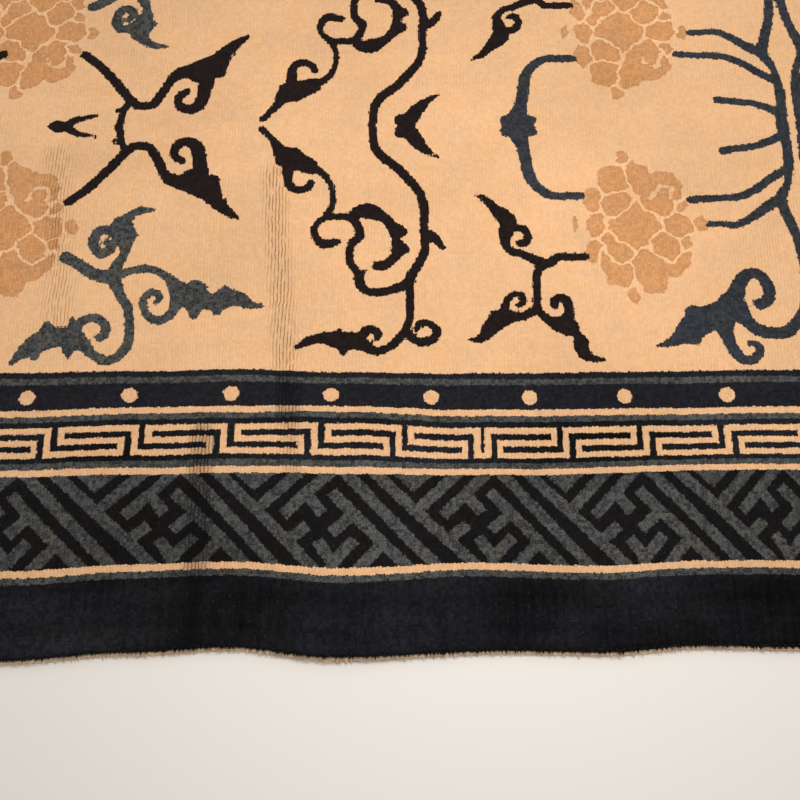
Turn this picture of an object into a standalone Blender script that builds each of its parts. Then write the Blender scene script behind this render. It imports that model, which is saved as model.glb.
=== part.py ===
"""An old knotted wool rug, lying flat on the floor.

The rug is one piece of cloth: wool pile knotted on a cotton foundation, with a narrow strip
of bare cotton web woven on past the last knots at each end. It lies with its length along Y
and its width along X, it rests on z = 0, and the origin is under its middle. The end at -Y
is the near one.

The cloth is drawn first as a true rectangle. Its edges then wander in and out, as the edges
of an old hand-woven rug do, and a few low ripples lift it off the floor. What lies between
the ripples is flat on the floor.
"""

import math
from collections import namedtuple

import bmesh
import bpy

# Driving dimensions, in metres
WIDTH = 2.44
LENGTH = 3.05  # over the cotton web at both ends
THICKNESS = 0.009  # foundation and clipped pile together
WEB_REACH = 0.005  # bare cotton web past the last knots
WEB_THICKNESS = 0.0025
PILE_SHOULDER = 0.003  # how far in the pile's edge is rounded over
PILE_FOOT = 0.0008  # how far the pile's end leans back above the web
SIDE_WALL = 0.006  # height of the pile's upright side under the rounding

# The mesh over the rug, without its rim
COLUMNS = 38
ROWS = 44

# How far an edge's wander reaches into the rug before it has faded to about a third
WANDER_FADE = 0.35

# Where an edge stands out past its mean line (positive) or draws in (negative).
# "along" runs along the edge from the rug's middle.
Station = namedtuple("Station", "along out")
NEAR_END = [
    Station(-1.22, -0.004),
    Station(-0.90, 0.003),
    Station(-0.545, 0.010),
    Station(-0.40, 0.000),
    Station(-0.29, -0.006),
    Station(-0.17, 0.006),
    Station(0.02, -0.002),
    Station(0.13, 0.000),
    Station(0.24, -0.008),
    Station(0.34, -0.006),
    Station(0.62, 0.004),
    Station(0.95, -0.003),
    Station(1.22, 0.003),
]
FAR_END = [
    Station(-1.22, 0.004),
    Station(-0.75, -0.006),
    Station(-0.30, 0.005),
    Station(0.20, -0.004),
    Station(0.70, 0.007),
    Station(1.22, -0.002),
]
LEFT_SIDE = [
    Station(-1.525, 0.002),
    Station(-0.95, -0.005),
    Station(-0.20, 0.004),
    Station(0.60, -0.003),
    Station(1.525, 0.003),
]
RIGHT_SIDE = [
    Station(-1.525, -0.003),
    Station(-0.70, 0.005),
    Station(0.10, -0.003),
    Station(0.85, 0.006),
    Station(1.525, -0.002),
]

# Low ripples. Each is a smooth hump whose crest runs along Y before it is turned.
Ripple = namedtuple("Ripple", "x y half_width half_length turn_deg height")
RIPPLES = [
    Ripple(x=-0.28, y=-0.98, half_width=0.09, half_length=0.50, turn_deg=-7, height=0.0040),
    Ripple(x=-0.66, y=-0.95, half_width=0.14, half_length=0.42, turn_deg=4, height=0.0045),
    Ripple(x=0.45, y=-0.72, half_width=0.16, half_length=0.38, turn_deg=-10, height=0.0045),
    Ripple(x=-0.17, y=-1.45, half_width=0.13, half_length=0.16, turn_deg=0, height=0.0030),
    Ripple(x=0.80, y=0.35, half_width=0.18, half_length=0.50, turn_deg=8, height=0.0045),
    Ripple(x=-0.75, y=0.55, half_width=0.15, half_length=0.55, turn_deg=-5, height=0.0040),
    Ripple(x=0.10, y=0.85, half_width=0.16, half_length=0.45, turn_deg=12, height=0.0040),
    Ripple(x=0.62, y=1.38, half_width=0.14, half_length=0.20, turn_deg=0, height=0.0030),
]


def standing_out(edge, along):
    """How far an edge stands out at a place along it, with its furthest point at zero."""
    furthest = max(station.out for station in edge)
    if along <= edge[0].along:
        return edge[0].out - furthest
    for start, end in zip(edge, edge[1:]):
        if along <= end.along:
            share = (along - start.along) / (end.along - start.along)
            eased = share * share * (3 - 2 * share)
            return start.out + (end.out - start.out) * eased - furthest
    return edge[-1].out - furthest


def lie(u, v):
    """Where a point of the true rectangle lies once the edges have wandered."""
    from_left = u + WIDTH / 2
    from_right = WIDTH / 2 - u
    from_near = v + LENGTH / 2
    from_far = LENGTH / 2 - v
    x = u + standing_out(RIGHT_SIDE, v) * math.exp(-from_right / WANDER_FADE)
    x -= standing_out(LEFT_SIDE, v) * math.exp(-from_left / WANDER_FADE)
    y = v + standing_out(FAR_END, u) * math.exp(-from_far / WANDER_FADE)
    y -= standing_out(NEAR_END, u) * math.exp(-from_near / WANDER_FADE)
    return x, y


def hump(distance, reach):
    """A smooth hump of height 1 at its middle that ends at its reach."""
    share = min(abs(distance) / reach, 1.0)
    return math.cos(share * math.pi / 2) ** 2


def lift(x, y):
    """How far the cloth is off the floor."""
    height = 0.0
    for ripple in RIPPLES:
        turn = math.radians(ripple.turn_deg)
        across = (x - ripple.x) * math.cos(turn) + (y - ripple.y) * math.sin(turn)
        along = (y - ripple.y) * math.cos(turn) - (x - ripple.x) * math.sin(turn)
        if abs(across) < ripple.half_width and abs(along) < ripple.half_length:
            height += ripple.height * hump(across, ripple.half_width) * hump(along, ripple.half_length)
    return height


# The rim's section, from the outermost line inwards: how far in, and how thick the cloth is
Section = namedtuple("Section", "inset thickness")
SIDE_SECTION = [
    Section(0.0, SIDE_WALL),
    Section(PILE_SHOULDER, THICKNESS),
]
END_SECTION = [
    Section(0.0, WEB_THICKNESS),
    Section(WEB_REACH, WEB_THICKNESS),
    Section(WEB_REACH + PILE_FOOT, SIDE_WALL),
    Section(WEB_REACH + PILE_SHOULDER, THICKNESS),
]


def lines_across(size, section, count):
    """The mesh lines from one edge to the other, each with its place and thickness."""
    rim = [(-size / 2 + line.inset, line.thickness) for line in section]
    first = rim[-1][0]
    step = -2 * first / count
    middle = [(first + step * number, THICKNESS) for number in range(1, count)]
    other_rim = [(-place, thickness) for place, thickness in reversed(rim)]
    return rim + middle + other_rim


def make_rug():
    columns = lines_across(WIDTH, SIDE_SECTION, COLUMNS)
    rows = lines_across(LENGTH, END_SECTION, ROWS)
    shape = bmesh.new()
    bmesh.ops.create_grid(
        shape, x_segments=len(columns) - 1, y_segments=len(rows) - 1, size=1.0
    )
    place = {}
    for corner in shape.verts:
        column = round((corner.co.x + 1) / 2 * (len(columns) - 1))
        row = round((corner.co.y + 1) / 2 * (len(rows) - 1))
        place[corner] = (columns[column], rows[row])

    # The top is lifted to its thickness, and a copy of it drops to make the underside
    for corner, ((u, column_thickness), (v, row_thickness)) in place.items():
        x, y = lie(u, v)
        corner.co = (x, y, lift(x, y) + min(column_thickness, row_thickness))
    extruded = bmesh.ops.extrude_face_region(shape, geom=shape.faces[:])
    for element in extruded["geom"]:
        if isinstance(element, bmesh.types.BMVert):
            element.co.z = lift(element.co.x, element.co.y)
    bmesh.ops.recalc_face_normals(shape, faces=shape.faces[:])

    mesh = bpy.data.meshes.new("pile_rug")
    shape.to_mesh(mesh)
    shape.free()
    return bpy.data.objects.new("pile_rug", mesh)


def make_wool():
    """Wool pile: the field's pale camel colour, dull all over."""
    wool = bpy.data.materials.new("wool_pile")
    wool.use_nodes = True
    shader = wool.node_tree.nodes["Principled BSDF"]
    shader.inputs["Base Color"].default_value = (0.72, 0.48, 0.27, 1)
    shader.inputs["Roughness"].default_value = 0.95
    shader.inputs["Metallic"].default_value = 0.0
    return wool


def main():
    for item in list(bpy.data.objects):
        bpy.data.objects.remove(item)
    collection = bpy.data.collections.new("wool_rug")
    bpy.context.scene.collection.children.link(collection)
    rug = make_rug()
    rug.data.materials.append(make_wool())
    rug.data.shade_smooth()
    rug.data.set_sharp_from_angle(angle=math.radians(35))
    collection.objects.link(rug)


main()
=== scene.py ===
# %% [markdown]
# An old Chinese wool rug, laid flat.
#
# The real thing is a cotton foundation of warps and wefts with a row of wool knots tied on
# after every second weft, then clipped level. Everything the eye sees is pile: a camel field
# with dark vines and tan blossoms, inside a border of plain bands, pearls and two frets.
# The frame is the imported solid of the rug. All pieces below lie on its shape.

# %% The tools and the frame
import math
from collections import namedtuple

import bpy
import numpy as np
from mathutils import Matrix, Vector


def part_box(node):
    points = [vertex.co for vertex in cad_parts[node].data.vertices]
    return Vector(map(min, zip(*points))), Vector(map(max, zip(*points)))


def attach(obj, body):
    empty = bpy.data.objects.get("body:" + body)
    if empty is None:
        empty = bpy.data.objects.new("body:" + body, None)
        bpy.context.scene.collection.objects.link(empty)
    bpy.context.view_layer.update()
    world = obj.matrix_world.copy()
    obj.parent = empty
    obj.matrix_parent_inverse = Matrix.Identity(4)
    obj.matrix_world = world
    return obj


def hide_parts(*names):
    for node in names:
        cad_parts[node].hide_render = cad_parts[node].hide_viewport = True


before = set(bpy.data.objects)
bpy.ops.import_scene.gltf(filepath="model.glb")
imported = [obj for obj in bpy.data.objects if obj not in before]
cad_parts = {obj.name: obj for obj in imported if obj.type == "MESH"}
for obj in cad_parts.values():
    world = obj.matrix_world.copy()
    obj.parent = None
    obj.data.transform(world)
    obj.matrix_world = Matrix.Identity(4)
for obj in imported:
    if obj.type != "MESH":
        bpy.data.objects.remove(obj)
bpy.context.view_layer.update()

low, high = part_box("pile_rug")
print("the solid spans", [round(high[axis] - low[axis], 4) for axis in range(3)], "m")


def place_object(name, data):
    """A new object in the scene, at the origin."""
    thing = bpy.data.objects.new(name, data)
    bpy.context.scene.collection.objects.link(thing)
    return thing


# %% [markdown]
# Sizes come first. The rug's width and length are the solid's own. The rest are the few
# measures that a weaver would give: how thick the cloth is, and how far apart the knots are.

# %% The rug's measures
WIDTH = 2.44
LENGTH = 3.05
THICKNESS = 0.009
WEB_REACH = 0.005
WEB_THICKNESS = 0.0025
KNOT_ACROSS = 0.0042
KNOT_ALONG = 0.0042
PILE_HALF_WIDTH = WIDTH / 2
PILE_HALF_LENGTH = LENGTH / 2 - WEB_REACH
print("knots across:", round(WIDTH / KNOT_ACROSS), "along:", round(LENGTH / KNOT_ALONG))

# %% [markdown]
# No hand-woven rug is a true rectangle. Its edges wander in and out by some millimetres, the
# bands wander with them, and low ripples lift it off the floor. These are the same small
# tables as the solid's, so that the pile lies exactly on it. An edge has stations along it,
# each with how far it stands out there, in metres.

# %% The wandering edges and the ripples
WANDER_FADE = 0.35
Station = namedtuple("Station", "along out")
NEAR_END = [
    Station(-1.22, -0.004), Station(-0.90, 0.003), Station(-0.545, 0.010),
    Station(-0.40, 0.000), Station(-0.29, -0.006), Station(-0.17, 0.006),
    Station(0.02, -0.002), Station(0.13, 0.000), Station(0.24, -0.008),
    Station(0.34, -0.006), Station(0.62, 0.004), Station(0.95, -0.003),
    Station(1.22, 0.003),
]
FAR_END = [
    Station(-1.22, 0.004), Station(-0.75, -0.006), Station(-0.30, 0.005),
    Station(0.20, -0.004), Station(0.70, 0.007), Station(1.22, -0.002),
]
LEFT_SIDE = [
    Station(-1.525, 0.002), Station(-0.95, -0.005), Station(-0.20, 0.004),
    Station(0.60, -0.003), Station(1.525, 0.003),
]
RIGHT_SIDE = [
    Station(-1.525, -0.003), Station(-0.70, 0.005), Station(0.10, -0.003),
    Station(0.85, 0.006), Station(1.525, -0.002),
]
Ripple = namedtuple("Ripple", "x y half_width half_length turn_deg height")
RIPPLES = [
    Ripple(-0.28, -0.98, 0.09, 0.50, -7, 0.0040),
    Ripple(-0.66, -0.95, 0.14, 0.42, 4, 0.0045),
    Ripple(0.45, -0.72, 0.16, 0.38, -10, 0.0045),
    Ripple(-0.17, -1.45, 0.13, 0.16, 0, 0.0030),
    Ripple(0.80, 0.35, 0.18, 0.50, 8, 0.0045),
    Ripple(-0.75, 0.55, 0.15, 0.55, -5, 0.0040),
    Ripple(0.10, 0.85, 0.16, 0.45, 12, 0.0040),
    Ripple(0.62, 1.38, 0.14, 0.20, 0, 0.0030),
]
print("ripples lift the cloth by up to", max(ripple.height for ripple in RIPPLES), "m")

# %% [markdown]
# From here on, u and v are a point's place on the true rectangle, and x and y are where it
# lies on the real rug. An edge's wander dies away towards the middle of the rug.

# %% From the true rectangle to the rug as it lies
def standing_out(edge, along):
    """How far an edge stands out at places along it, with its furthest point at zero."""
    places = np.array([station.along for station in edge])
    outs = np.array([station.out for station in edge])
    number = np.clip(np.searchsorted(places, along) - 1, 0, len(edge) - 2)
    share = np.clip((along - places[number]) / (places[number + 1] - places[number]), 0, 1)
    eased = share * share * (3 - 2 * share)
    return outs[number] + (outs[number + 1] - outs[number]) * eased - outs.max()


def wander(u, v):
    """How far a point of the true rectangle shifts, across and along."""
    from_left = u + WIDTH / 2
    from_right = WIDTH / 2 - u
    from_near = v + LENGTH / 2
    from_far = LENGTH / 2 - v
    across = standing_out(RIGHT_SIDE, v) * np.exp(-from_right / WANDER_FADE)
    across -= standing_out(LEFT_SIDE, v) * np.exp(-from_left / WANDER_FADE)
    along = standing_out(FAR_END, u) * np.exp(-from_far / WANDER_FADE)
    along -= standing_out(NEAR_END, u) * np.exp(-from_near / WANDER_FADE)
    return across, along


def lift(x, y):
    """How far the cloth is off the floor: each ripple is a smooth hump."""
    total = np.zeros_like(x)
    for ripple in RIPPLES:
        turn = math.radians(ripple.turn_deg)
        across = (x - ripple.x) * math.cos(turn) + (y - ripple.y) * math.sin(turn)
        along = (y - ripple.y) * math.cos(turn) - (x - ripple.x) * math.sin(turn)
        share_across = np.minimum(np.abs(across) / ripple.half_width, 1)
        share_along = np.minimum(np.abs(along) / ripple.half_length, 1)
        hump = np.cos(share_across * math.pi / 2) ** 2 * np.cos(share_along * math.pi / 2) ** 2
        total += ripple.height * hump
    return total


def laid(u, v):
    """Where points of the true rectangle lie, and how far the cloth is off the floor."""
    across, along = wander(u, v)
    x, y = u + across, v + along
    return x, y, lift(x, y)


near_left = laid(np.array([-WIDTH / 2]), np.array([-LENGTH / 2]))
print("the near left corner lies at", [round(float(value[0]), 4) for value in near_left])

# %% [markdown]
# Where the cloth bends back, over a ripple's crest, the pile parts between its columns of
# knots. Each parting runs from one point to another, fades to its sides, and has a depth.
# The materials open gaps there and darken the parted pile with painted shade.

# %% Where the pile parts
Parting = namedtuple("Parting", "u0 v0 u1 v1 half_width depth")
PARTINGS = [
    Parting(-0.262, -0.890, -0.232, -1.225, 0.026, 1.00),
    Parting(-0.232, -1.225, -0.225, -1.300, 0.020, 0.55),
    Parting(-0.333, -1.252, -0.330, -1.519, 0.022, 1.30),
    Parting(-0.545, -0.860, -0.520, -1.100, 0.034, 0.60),
    Parting(0.860, 0.000, 0.790, 0.700, 0.030, 0.70),
    Parting(-0.730, 0.200, -0.780, 0.900, 0.028, 0.60),
    Parting(0.120, 0.600, 0.060, 1.150, 0.026, 0.80),
    Parting(0.440, -0.900, 0.520, -0.520, 0.024, 0.25),
]


def opened(u, v):
    """How far the pile is parted between its columns of knots, from 0 to 1."""
    total = np.zeros_like(u)
    for part in PARTINGS:
        du, dv = part.u1 - part.u0, part.v1 - part.v0
        share = np.clip(((u - part.u0) * du + (v - part.v0) * dv) / (du * du + dv * dv), 0, 1)
        away = np.hypot(u - part.u0 - du * share, v - part.v0 - dv * share) / part.half_width
        total += part.depth * np.cos(np.minimum(away, 1) * math.pi / 2) ** 2
    return np.clip(total, 0, 1)


print("partings:", len(PARTINGS))

# %% [markdown]
# The camera stands as the photograph's did: in front of the near end, looking down steeply.
# The knots' columns lean together by some six degrees at the picture's sides, which a
# 60 mm lens at 1.6 m gives. The drawing below was read from the picture, so the same
# camera also says where a point of the picture lies on the rug.

# %% The camera, and from the picture to the rug
PICTURE = 800
LENS_MM = 60
SENSOR_MM = 36
CAMERA_DISTANCE = 1.6
CAMERA_ELEVATION = math.radians(66.5)
LOOK_AT = np.array([-0.0978, -1.2064, THICKNESS])

forward = np.array([0, math.cos(CAMERA_ELEVATION), -math.sin(CAMERA_ELEVATION)])
upward = np.array([0, math.sin(CAMERA_ELEVATION), math.cos(CAMERA_ELEVATION)])
sideways = np.array([1.0, 0, 0])
standpoint = LOOK_AT - CAMERA_DISTANCE * forward

camera_data = bpy.data.cameras.new("camera")
camera_data.lens = LENS_MM
camera_data.sensor_width = SENSOR_MM
camera = place_object("camera", camera_data)
camera.location = Vector(standpoint)
camera.rotation_euler = (math.pi / 2 - CAMERA_ELEVATION, 0, 0)
bpy.context.scene.camera = camera


def on_rug(px, py):
    """The true rectangle's point that shows at a pixel of the 800 by 800 picture."""
    focal = LENS_MM / SENSOR_MM * PICTURE
    right = (np.asarray(px, float) - PICTURE / 2) / focal
    up = (PICTURE / 2 - np.asarray(py, float)) / focal
    ray = forward + np.multiply.outer(right, sideways) + np.multiply.outer(up, upward)
    reach = (THICKNESS - standpoint[2]) / ray[..., 2]
    x = standpoint[0] + reach * ray[..., 0]
    y = standpoint[1] + reach * ray[..., 1]
    across, along = wander(x, y)
    return x - across, y - along, reach / focal


print("one pixel at the picture's middle is", round(float(on_rug(400, 400)[2]) * 1000, 2), "mm")

# %% [markdown]
# The border is a stack of bands. Their widths are given from the pile's outer edge inwards,
# each with the yarn of its ground. Two bands of them hold a fret and one holds pearls. The
# field's mesh starts a little inside the last dark line, whose inner edge it draws itself.

# %% The border's bands
Band = namedtuple("Band", "name width ground")
BANDS = [
    Band("outer", 0.0836, "navy"),
    Band("outer_slate", 0.0079, "slate"),
    Band("outer_cream", 0.0087, "cream"),
    Band("lattice", 0.1129, "ink"),
    Band("middle_cream", 0.0087, "cream"),
    Band("middle_slate", 0.0084, "slate"),
    Band("key_edge", 0.0068, "navy"),
    Band("key", 0.0382, "navy"),
    Band("key_inner_edge", 0.0072, "navy"),
    Band("inner_slate", 0.0073, "slate"),
    Band("inner_cream", 0.0084, "cream"),
    Band("pearls", 0.0324, "night"),
    Band("pale_slate", 0.0082, "slate"),
    Band("field_line", 0.0081, "night"),
]
BAND_WIDTH = {band.name: band.width for band in BANDS}
BORDER = sum(BAND_WIDTH.values())
BAND_START = {}
reached = 0.0
for band in BANDS:
    BAND_START[band.name] = reached
    reached += band.width
FIELD_OVERLAP = 0.0035
FIELD_HALF_WIDTH = PILE_HALF_WIDTH - BORDER + FIELD_OVERLAP
FIELD_HALF_LENGTH = PILE_HALF_LENGTH - BORDER + FIELD_OVERLAP
field_size = [round(2 * half, 3) for half in (FIELD_HALF_WIDTH, FIELD_HALF_LENGTH)]
print("border", round(BORDER, 4), "m wide, field", field_size)

# %% [markdown]
# The vines are brush strokes: a stem swells into a leaf and tapers to its tip, and most
# leaves carry a curl. So each stroke is a row of places with the stroke's width there, which
# a smooth curve then joins. The columns are x and y in the picture, and the width, all in
# pixels. Three yarns draw them: a brown black, a grey slate and a steel blue.

# %% The vines at the left, stroke by stroke
BRANCH_BLACK = [
    [(68, 202, 9), (86, 190, 9), (104, 174, 9), (121, 157, 9), (133, 147, 9), (142, 146, 9),
     (150, 148, 9), (155, 156, 9), (159, 163, 9), (163, 172, 9), (170, 179, 13), (180, 182, 16),
     (190, 184, 20), (201, 186, 26), (209, 191, 23), (217, 203, 13), (227, 212, 10), (238, 220, 3)],
    [(201, 181, 18), (200, 166, 14), (199, 154, 13), (195, 145, 12), (187, 142, 10), (179, 144, 9),
     (174, 151, 8), (176, 157, 8), (182, 161, 7)],
    [(191, 173, 8), (186, 175, 7)],
    [(212, 181, 14), (213, 188, 14)],
    [(220, 204, 9), (226, 201, 4)],
    [(125, 150, 7), (121, 140, 6), (119, 126, 7)],
    [(113, 141, 3), (118, 143, 5)],
    [(58, 124, 8), (75, 133, 6), (95, 137, 3)],
    [(50, 126, 4), (59, 126, 12), (71, 126, 5)],
]
SPRAY_SLATE = [
    [(65, 257, 11), (78, 264, 11), (96, 275, 12), (112, 279, 13), (121, 297, 9), (128, 309, 8),
     (129, 336, 9), (124, 350, 10), (112, 360, 9), (102, 360, 10), (91, 353, 9), (83, 345, 13),
     (73, 338, 21), (58, 337, 21), (44, 340, 23), (31, 348, 19), (20, 355, 10), (10, 365, 3)],
    [(73, 330, 12), (72, 318, 3)],
    [(48, 331, 14), (47, 326, 9)],
    [(35, 352, 12), (34, 358, 5)],
    [(68, 346, 13), (68, 358, 3)],
    [(110, 277, 12), (117, 266, 11), (122, 258, 9), (125, 250, 9), (125, 243, 15), (123, 233, 23),
     (121, 226, 20), (127, 219, 12), (132, 214, 8), (139, 211, 8), (146, 210, 6), (154, 210, 2)],
    [(129, 236, 11), (136, 235, 4)],
    [(113, 232, 11), (105, 230, 9), (98, 232, 10), (94, 241, 10), (96, 250, 9),
     (101, 254, 9), (109, 251, 9), (110, 245, 8), (106, 241, 6)],
    [(120, 275, 9), (134, 270, 8), (151, 269, 8), (164, 275, 8), (173, 283, 11), (179, 291, 19),
     (187, 296, 25), (197, 299, 27), (207, 302, 15), (217, 303, 21), (227, 299, 20), (240, 301, 15),
     (250, 306, 8), (264, 307, 3)],
    [(194, 310, 13), (194, 318, 5)],
    [(217, 309, 12), (218, 315, 5)],
    [(194, 288, 17), (200, 290, 14)],
    [(225, 294, 13), (226, 291, 9)],
    [(176, 298, 12), (174, 309, 9), (165, 319, 8), (154, 320, 8), (145, 312, 7), (143, 301, 7),
     (149, 293, 7), (156, 293, 7), (159, 298, 6), (156, 303, 5)],
    [(77, 325, 10), (87, 319, 8), (97, 318, 8), (105, 325, 8), (105, 334, 8), (100, 338, 8),
     (97, 336, 5)],
]
print("strokes at the left:", len(BRANCH_BLACK) + len(SPRAY_SLATE))

# %% [markdown]
# The tall black vine winds down the middle of the picture, sends a long tendril to the left,
# and ends in a leaf between two curls.

# %% The vine in the middle
SCROLL_BLACK = [
    [(372, 124, 7), (374, 145, 8), (381, 156, 9), (395, 166, 9), (410, 181, 9), (420, 194, 8),
     (424, 208, 8), (424, 226, 7), (425, 241, 8), (424, 254, 8), (417, 266, 9), (410, 279, 9),
     (410, 293, 7), (410, 311, 7), (408, 325, 7), (404, 333, 9)],
    [(424, 232, 9), (435, 238, 9), (443, 248, 5)],
    [(411, 280, 9), (398, 288, 9), (381, 292, 8), (367, 291, 8), (359, 282, 9), (358, 274, 8),
     (350, 262, 7), (350, 249, 7), (354, 241, 8), (360, 236, 8), (356, 223, 8), (348, 217, 8),
     (332, 217, 6), (321, 220, 6), (314, 229, 6), (316, 238, 7), (323, 244, 9), (331, 243, 8),
     (337, 242, 7)],
    [(360, 275, 6), (365, 271, 3)],
    [(352, 219, 7), (357, 212, 11), (363, 211, 15), (369, 211, 17), (377, 214, 14), (385, 219, 10),
     (391, 225, 10), (396, 231, 12), (396, 239, 8), (398, 247, 12), (397, 254, 11), (391, 261, 9),
     (384, 265, 10), (377, 266, 10)],
    [(396, 230, 14), (402, 232, 11)],
    [(398, 248, 13), (403, 249, 12)],
    [(262, 130, 6), (270, 138, 6), (276, 145, 8), (280, 152, 13), (288, 158, 22), (298, 162, 21),
     (307, 166, 17), (313, 169, 12), (320, 172, 7), (327, 178, 6), (332, 188, 5), (333, 200, 5),
     (331, 208, 6), (326, 216, 7)],
    [(286, 160, 15), (281, 163, 10)],
    [(294, 155, 14), (298, 157, 12)],
    [(308, 163, 12), (314, 164, 7)],
    [(289, 165, 12), (288, 181, 9), (292, 189, 8), (301, 191, 7), (309, 187, 8), (311, 182, 6)],
    [(404, 333, 9), (396, 342, 8), (386, 349, 8), (374, 351, 9), (363, 345, 13), (352, 341, 18),
     (343, 341, 20), (333, 339, 16), (322, 338, 11), (309, 341, 9), (296, 348, 3)],
    [(343, 346, 13), (343, 353, 6)],
    [(339, 335, 10), (339, 331, 5)],
    [(361, 338, 9), (365, 331, 9), (373, 330, 8), (379, 335, 7), (376, 339, 4)],
    [(406, 333, 8), (415, 340, 8), (425, 342, 9), (435, 337, 8), (437, 330, 7), (430, 324, 7),
     (420, 323, 7), (417, 329, 5)],
    [(402, 120, 14), (411, 134, 15), (418, 143, 13), (427, 151, 7), (439, 158, 2)],
]
print("strokes in the middle:", len(SCROLL_BLACK))

# %% [markdown]
# To the right stand a black cross of leaves, a steel blue hook, and the steel blue trunk with
# its thin ribs, which the field's middle line mirrors.

# %% The vines at the right
CROSS_BLACK = [
    [(476, 195, 3), (486, 200, 7), (494, 208, 10), (503, 216, 16), (508, 223, 17), (506, 233, 13),
     (505, 244, 8), (513, 252, 7), (524, 255, 8), (540, 262, 10), (548, 264, 9), (558, 257, 8),
     (571, 257, 8), (585, 257, 8)],
    [(513, 228, 8), (523, 229, 8), (528, 237, 7), (524, 244, 7), (518, 243, 5)],
    [(541, 265, 8), (537, 276, 7), (537, 295, 7), (538, 309, 7), (546, 318, 8), (555, 323, 13),
     (566, 326, 20), (573, 330, 13), (577, 335, 6), (581, 341, 13), (582, 349, 14), (589, 357, 9),
     (604, 360, 3)],
    [(571, 324, 12), (574, 325, 9)],
    [(582, 341, 11), (585, 342, 8)],
    [(568, 320, 10), (569, 309, 9), (566, 300, 9), (559, 298, 8), (554, 302, 8), (555, 307, 5)],
    [(470, 340, 3), (480, 339, 8), (487, 333, 12), (493, 325, 17), (500, 319, 19), (508, 317, 15),
     (516, 317, 10), (525, 316, 8), (534, 311, 9)],
    [(505, 311, 8), (506, 303, 7), (510, 297, 6), (517, 294, 6), (522, 296, 6), (524, 301, 6),
     (521, 305, 5), (518, 305, 4)],
    [(497, 318, 14), (494, 314, 7)],
]
HOOK_STEEL = [
    [(506, 120, 12), (514, 131, 15), (521, 143, 13), (525, 155, 11), (527, 168, 11),
     (532, 181, 10), (542, 191, 9), (553, 196, 8), (566, 196, 8), (581, 196, 8)],
    [(531, 120, 10), (522, 134, 13), (522, 144, 12)],
]
TRUNK_STEEL = [
    [(781, 124, 11), (786, 147, 9), (788, 164, 9), (787, 184, 7), (781, 199, 11), (786, 214, 10),
     (796, 235, 9), (803, 258, 9), (807, 285, 10), (804, 312, 11), (790, 330, 12), (772, 333, 12),
     (757, 329, 12), (747, 321, 13), (738, 313, 20)],
    [(745, 320, 12), (736, 308, 24), (724, 313, 29), (712, 317, 27), (700, 322, 29), (690, 330, 25),
     (680, 338, 15), (670, 343, 8), (658, 346, 2)],
    [(698, 315, 17), (692, 312, 14)],
    [(692, 336, 17), (697, 341, 9)],
    [(727, 303, 18), (727, 297, 9)],
    [(734, 301, 19), (738, 287, 15), (745, 276, 12), (754, 273, 11), (764, 279, 11), (769, 290, 11),
     (768, 300, 11), (761, 305, 10), (756, 302, 6)],
    [(724, 326, 18), (729, 340, 12), (734, 350, 11), (743, 359, 10), (753, 360, 9), (760, 353, 8),
     (758, 345, 7), (749, 343, 5)],
    [(723, 151, 8), (737, 149, 7), (754, 147, 7), (770, 142, 8), (784, 135, 8)],
    [(690, 200, 7), (702, 199, 7), (728, 198, 7), (742, 196, 8), (757, 189, 8), (772, 178, 8),
     (787, 170, 9)],
    [(710, 224, 7), (722, 224, 6), (737, 225, 7), (750, 219, 8), (766, 208, 10), (780, 199, 11)],
]
YARN_OF = [
    (BRANCH_BLACK, "black"), (SPRAY_SLATE, "slate"), (SCROLL_BLACK, "black"),
    (CROSS_BLACK, "black"), (HOOK_STEEL, "steel"), (TRUNK_STEEL, "steel"),
]
print("strokes in the whole strip:", sum(len(strokes) for strokes, yarn in YARN_OF))

# %% [markdown]
# A blossom is a tan mosaic: a large middle petal, a ring of others round it, and one bud
# above and below, parted by thin lines of the camel ground. Each petal is an oval that is
# wider than it shows, and where two ovals meet they leave the line between them. Some petals
# are two or three ovals run together, which share a name. A power below 2 turns an oval
# towards a diamond, as the middle petal is. Neighbours sit in different layers, so that a
# coarse mesh still holds the thin lines.

# %% The blossom's petals
Petal = namedtuple("Petal", "name x y wide high turn_deg layer power", defaults=[2.0])
PETALS = [
    Petal("middle", 634, 227, 27, 25, 0, 0, 1.2),
    Petal("top left", 613, 180, 15, 14, 10, 1),
    Petal("top right", 642, 181, 13, 20, 32, 2),
    Petal("top right", 666, 182, 16, 9, -30, 2),
    Petal("top right", 649, 201, 9, 10, 20, 2),
    Petal("top right", 662, 201, 11, 14, 0, 2),
    Petal("top right", 676, 194, 5, 9, 10, 2),
    Petal("right above", 681, 205, 6, 7, 0, 3),
    Petal("left above", 617, 204, 16, 13, 30, 3),
    Petal("far left above", 592, 199, 9, 11, 0, 0),
    Petal("left", 596, 225, 9, 11, 0, 1),
    Petal("far left", 576, 226, 3, 8, 8, 2),
    Petal("far left below", 593, 251, 8, 11, -15, 0),
    Petal("left below", 609, 239, 8, 8, 0, 2),
    Petal("left below", 623, 252, 13, 11, -10, 2),
    Petal("bottom left", 620, 274, 14, 12, -25, 1),
    Petal("bottom left", 605, 262, 6, 10, 10, 1),
    Petal("bottom right", 650, 270, 16, 23, 14, 3),
    Petal("bottom right", 673, 270, 11, 7, 15, 3),
    Petal("bottom right", 685, 259, 6, 10, -15, 3),
    Petal("right below", 665, 246, 16, 12, -50, 2),
    Petal("right", 678, 226, 15, 11, 0, 1),
    Petal("far right", 701, 224, 6, 7, 0, 0),
    Petal("far right below", 687, 243, 6, 6, 0, 0),
    Petal("upper bud", 622, 158, 6, 7, 0, 0),
    Petal("lower bud", 634, 295, 6, 7, 0, 0),
]
PETAL_LAYERS = 1 + max(petal.layer for petal in PETALS)
PETAL_ARC = [(650, 200, 3), (653, 194, 3), (659, 188, 3), (666, 186, 3), (671, 189, 3), (672, 199, 3)]
PETAL_LINE = 0.0032
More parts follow.
